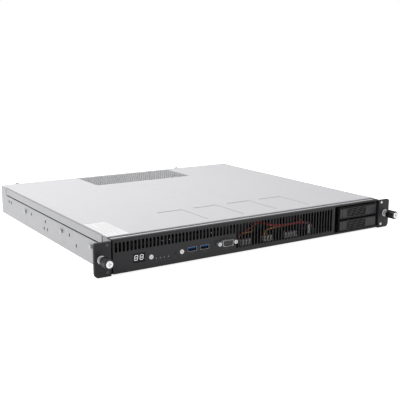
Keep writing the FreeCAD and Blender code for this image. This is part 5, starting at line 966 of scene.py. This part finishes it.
for number, (route, colours) in enumerate(zip(ROUTES, SLEEVES)):
    route = np.array(route, float) + (0, FACE, 0)
    beside = (route if number else np.array(RISING, float) + (0, FACE, 0)) + BESIDE
    beside[0, 2], beside[-1, 1] = route[0, 2], route[-1, 1]
    wire(f"fan_wire_{number}_a", route, WIRE, pvc[colours[0]], ("fan_wires",))
    wire(f"fan_wire_{number}_b", beside, WIRE, pvc[colours[1]])
# a black shrink sleeve over the third cable where it leaves its plug
route = np.array(ROUTES[2][:3], float) + (0, FACE, 0)
wire("shrink_sleeve", route + BESIDE / 2 * (1, 1, 0), SHRINK, pvc["black"])
# braided polyester: black filaments 1.4 mm from one crossing to the next
braid = finish("braided_polyester", "cable_sleeve", ("#121214", "#26262A"), 0.6, 0.0, 1.4, 0.25)
dress(braid, "power_cables")


# ---- The system board: a glass-fibre board under green solder mask on steel standoffs, with the
# processor under a finned aluminium block, four memory modules, and rows of moulded parts.
green_mask = finish("green_solder_mask", "green_board", ("#123C26", "#18492F"), 0.35, 0.0, 0.9, 0.02,
                    Coat_Weight=0.3)
dress(green_mask, "system_board", "riser_board", "supply_board")
dress(tin, "board_standoffs", "processor")
# milled aluminium: pale, with fine lines 0.5 mm apart that the mill left along the fins
milled = finish("milled_aluminium", "fin_aluminium", ("#B4B6BA", "#C6C8CC"), 0.35, 0.85, 0.5, 0.01, (1, 12, 1))
dress(milled, "heat_sink")
board = corners("system_board")[1][2]
# moulded epoxy: dull black packages with laser-matt tops
epoxy = finish("moulded_epoxy", "black_plastic", ("#17171A", "#1F1F22"), 0.55, 0.0, 0.5, 0.01)
# chips: middle across and along the board, width, depth and height; chokes: middles of square blocks
CHIPS = ((-52, -10, 24, 24, 1.6), (-10, -20, 10, 10, 1.2), (20, -28, 12, 9, 1.2), (48, -30, 7, 7, 1.0),
         (-60, 40, 14, 14, 1.2), (-60, 70, 9, 12, 1.0), (-55, 150, 16, 16, 1.4), (10, 160, 12, 12, 1.2),
         (60, 150, 9, 9, 1.0), (112, 120, 8, 14, 1.0), (-30, 8, 6, 8, 1.0), (56, 8, 6, 6, 1.0))
CHOKES = [(x, 32) for x in range(-30, 30, 11)] + [(60, y) for y in range(56, 120, 12)]
# plug sockets: left, front, right, back and height
SOCKETS = ((-46, -46, -12, -39, 9), (-4, -46, 20, -39, 7), (-70, -40, -62, -14, 8))
parts = [slab(x, wide / 2, (y - deep / 2, y + deep / 2), (board, board + tall), 0.3, 0.15)
         for x, y, wide, deep, tall in CHIPS]
parts += [slab(x, 4.2, (y - 4.2, y + 4.2), (board, board + 5.5), 0.8, 0.6) for x, y in CHOKES]
parts += [bar((left, front, board), (right, back, board + tall), 0.5, 0.4)
          for left, front, right, back, tall in SOCKETS]
piece("board_packages", parts, epoxy)
# electrolytic cans: drawn aluminium with a rolled groove near the foot, on a black plastic foot
CANS = [(x, 20) for x in range(-34, 34, 9)] + [(52, y) for y in (-4, 5, 14)]
CANS += [(-70, y) for y in range(88, 150, 10)] + [(x, 142) for x in range(-20, 50, 10)]
foot = lathed(((3.6, 0), (3.6, 0.8), (3.3, 1.0)), 8)
can = lathed(((3.0, 0.9), (3.15, 1.2), (3.15, 1.8), (2.9, 2.1), (3.15, 2.4), (3.15, 7.2), (2.9, 7.6),
              (0, 7.65)), 18)
piece("capacitor_cans", [turned(can, (*at, board)) for at in CANS], tin)
piece("capacitor_feet", [turned(foot, (*at, board)) for at in CANS], epoxy)

# memory: black boards 1.3 mm thick with nine chips a side, in black sockets with white latches
low, high = corners("memory_modules")
boards, chips, latches = [], [], []
for middle in np.linspace(low[0] + 1.9, high[0] - 1.9, 4):
    boards.append(slab(middle, 0.65, (low[1], high[1]), (low[2], high[2]), 0.3, 0.1))
    chips += [slab(middle, 1.85, (place - 5.0, place + 5.0), (low[2] + 12, low[2] + 25), 0.2, 0.15)
              for place in np.linspace(low[1] + 10, high[1] - 10, 9)]
    latches += [slab(middle, 2.4, (end, end + 2.6), (low[2] - 0.5, low[2] + 11), 0.8, 0.5)
                for end in (low[1] - 2.0, high[1] - 0.5)]
piece("memory_boards", boards, dark_mask, replaces=("memory_modules",))
piece("memory_chips", chips, epoxy)
piece("memory_latches", latches, natural_nylon)
dress(black_nylon, "memory_sockets")


# ---- The rear: a stainless plate round the board's network, USB and video sockets, a blank slot
# cover, the mains inlet, and the lid's two knurled finger screws.
stainless = finish("brushed_stainless_steel", "socket_metal", ("#A6A7AA", "#B4B5B8"), 0.35, 0.75, 0.5, 0.006,
                   (14, 1, 1))
dress(stainless, "port_plate")
dress(galvanised, "slot_cover", "supply_case")
low = corners("rear_sockets")[0]
REAR, PLATE_BACK, NETWORK, CAVITY = 201.4, 200.8, (-20.0, 0.0), (11.7, 8.0)
mouth = [(low[1] - REAR, 0), (-0.2, 0), (0, 0.15)]
network_up = board + 13.4 / 2
can = frame_shape(hole(0, 0, 15.9, 13.4, 0.5), hole(0, 0, *CAVITY, 0.3), mouth)
cans, wells, contacts, lights = [], [], [], []
for middle in NETWORK:
    cans.append(turned(can, (middle, REAR, network_up), "rear"))
    wells.append(slab(middle, CAVITY[0] / 2, (low[1], REAR - 11.5),
                      (network_up - CAVITY[1] / 2, network_up + CAVITY[1] / 2), 0.2, 0.1))
    contacts += [slab(middle - 4.2 + 1.2 * i, 0.2, (REAR - 11.6, REAR - 2.5), (network_up + 1.0, network_up + 1.5),
                      0.1, 0.05) for i in range(8)]
    lights += [slab(across, 1.3, (REAR - 1, REAR + 0.12), (network_up + 4.4, network_up + 6.1), 0.2, 0.1, "rear")
               for across in (middle - 5.6, middle + 5.6)]
# the USB stack: one tall can with a shelf and a blue tongue on each floor
middle, wide, tall = -42.0, 13.6, 15.6
half, shelf = wide / 2, board + tall / 2
stack = frame_shape(hole(0, 0, wide, tall, 0.5), hole(0, 0, wide - 0.8, tall - 0.8, 0.3), mouth)
cans += [turned(stack, (middle, REAR, shelf), "rear"),
         slab(middle, half - 0.3, (REAR - 9, REAR - 0.1), (shelf - 1.2, shelf + 0.8), 0.3, 0.2, "rear")]
wells.append(slab(middle, half - 0.4, (low[1] + 0.2, REAR - 10), (board + 0.4, board + tall - 0.4), 0.2, 0.1))
tongues = [slab(middle, 5.4, (REAR - 10.5, REAR - 0.8), (board + up, board + up + 1.9), 0.3, 0.2, "rear")
           for up in (3.9, 11.6)]
piece("rear_socket_cans", cans, nickel, replaces=("rear_sockets",))
piece("rear_socket_wells", wells, black_nylon)
piece("rear_socket_contacts", contacts, tin)
piece("network_lights", lights, lamp_clear)
piece("rear_usb_tongues", tongues, blue_nylon)
VIDEO_REAR = 35.0
shell, core, pins = video_socket((VIDEO_REAR, PLATE_BACK, board + 6.0), "rear", -1.2, 0.02, -1.2, 5.0)
core.append(slab(VIDEO_REAR, 15.5, (low[1], PLATE_BACK - 1.2), (board, board + 11), 0.5, 0.3))
piece("rear_video_shell", shell, nickel)
piece("rear_video_insulator", core, blue_nylon)
piece("rear_video_holes", pins, dark_print)

# the finger screws: turned from steel and dulled nickel, knurled round the head, with a driver slot
milled_nickel = finish("knurled_nickel", "nickel_steel", ("#8E8F93", "#9C9DA1"), 0.35, 0.8, 0.6, 0.004)
driver = np.array([(-3.4, -0.55), (3.4, -0.55), (3.4, 0.55), (-3.4, 0.55)])
for name in ("left", "right"):
    screw = f"cover_screw_{name}"
    low, high = corners(screw)
    end = high[1] - low[1]
    neck, floor = end - 7.5, raised(driver, end - 1.2)
    rings = knurled(((0.9, 0, 0), (1.5, 0.5, 0), (1.5, neck, 0), (4.4, neck, 0), (4.6, neck + 0.2, 0),
                     (4.6, neck + 1.2, 0), (4.98, neck + 1.3, 1), (4.98, end - 0.9, 1), (4.7, end - 0.5, 0),
                     (4.1, end, 0)), 36, 0.25)
    points, faces = strip(rings)
    shapes = [(points, faces + [list(range(rings.shape[1]))[::-1]]), between([rings[-1][:, :2], driver], end),
              strip(np.array([raised(driver, end), floor])), (floor, [[0, 1, 2, 3]])]
    at = ((low[0] + high[0]) / 2, low[1], (low[2] + high[2]) / 2)
    piece(f"finger_screw_{name}", moved(shapes, at, "rear"), milled_nickel, screw, (screw,), 25)

# shoulder pins: studs turned from steel to a clean satin, pressed into the side walls for the rack's slides
machined = finish("machined_steel", "nickel_steel", ("#A4A5A8", "#B2B3B6"), 0.3, 0.75, 0.6, 0.004)
pin = lathed(((2.0, -0.2), (2.0, 1.75), (3.0, 1.85), (3.4, 2.05), (3.4, 2.75), (3.1, 2.97), (0, 2.97)), 24)
pins = [turned(pin, (CASE_SIDE * hand, along, 22.4), facing) for hand, facing in ((-1, "left"), (1, "right"))
        for along in (-144.4, -51.0, 87.7)]
piece("side_pins", pins, machined, replaces=("shoulder_pins",))
# black patches over the small slots of the side walls are painted shade that makes them read as deep holes: distance
# behind the panel, and height
slot_shade_black = finish("slot_painted_shade", "black_plastic", ("#121213", "#19191A"), 0.8, 0.0, 0.5, 0.01)
SHADED_SLOTS = ((103.0, 12.4), (124.6, 22.1), (202.7, 12.4), (215.4, 12.1), (209.6, 22.7), (265.3, 22.9),
         (354.4, 23.4), (364.9, 23.9))
slot_shades = [bar((CASE_SIDE * hand - 0.5, FACE + back - 0.8, up - 2.0),
             (CASE_SIDE * hand + 0.05, FACE + back + 0.8, up + 2.0), 0.6, 0.03, "right")
         for hand in (-1, 1) for back, up in SHADED_SLOTS]
piece("side_slot_shades", slot_shades, slot_shade_black)


# ---- The power supply: a zinc-coated box with its own 40 mm fan behind a chromed wire guard, and
# a moulded inlet with three flat pins.
def ring_wire(radius, wire=0.55, count=40, round_steps=8):
    """A wire bent to a circle: a small circle carried round a larger one."""
    angle, across = np.arange(count + 1) * 2 * pi / count, np.arange(round_steps) * 2 * pi / round_steps
    reach = radius + wire * np.cos(across)
    rings = np.stack([reach * np.cos(angle)[:, None], reach * np.sin(angle)[:, None],
                      wire * np.sin(across) + 0 * angle[:, None]], -1)
    return strip(rings[::-1])


chrome = finish("chromed_wire", "nickel_steel", ("#CACBCE", "#D8D9DB"), 0.15, 1.0, 0.6, 0.002)
GUARD_HOLE = 16.0
supply_middle = np.mean(corners("supply_fan_frame"), axis=0)
rotor("supply_fan_rotor", supply_middle[::2], 16.9, 9.0, "supply_fan_blades", "supply_rotor")
guard = [ring_wire(radius) for radius in (4.5, 8.5, 12.5, 16.5)]
# two straight spokes of 1 mm wire cross behind the rings
reach, (sway, rise) = np.array([[-GUARD_HOLE], [GUARD_HOLE]]), circle(0.5, 8).T
for way in (-1, 1):
    ends = np.broadcast_arrays(reach * way, reach + sway, rise - 0.6)
    guard.append(strip(np.stack(ends, -1)))
holes = [(side * GUARD_HOLE, rise * GUARD_HOLE) for side in (-1, 1) for rise in (-1, 1)]
guard += [turned(ring_wire(2.0, count=20), (*at, 0)) for at in holes]
piece("fan_guard", moved(guard, (supply_middle[0], 200.95, supply_middle[2]), "rear"), chrome)
head = cross_head(2.6, [(-0.2, 0), (0.5, 0.1), (0.9, 0.6), (1.1, 1.3)], 1.1, 0.28, 0.6)
heads = [shape for side, rise in holes
         for shape in moved(head, (supply_middle[0] + side, 201.2, supply_middle[2] + rise), "rear")]
piece("guard_screws", heads, milled_nickel)
dress(black_nylon, "mains_inlet")
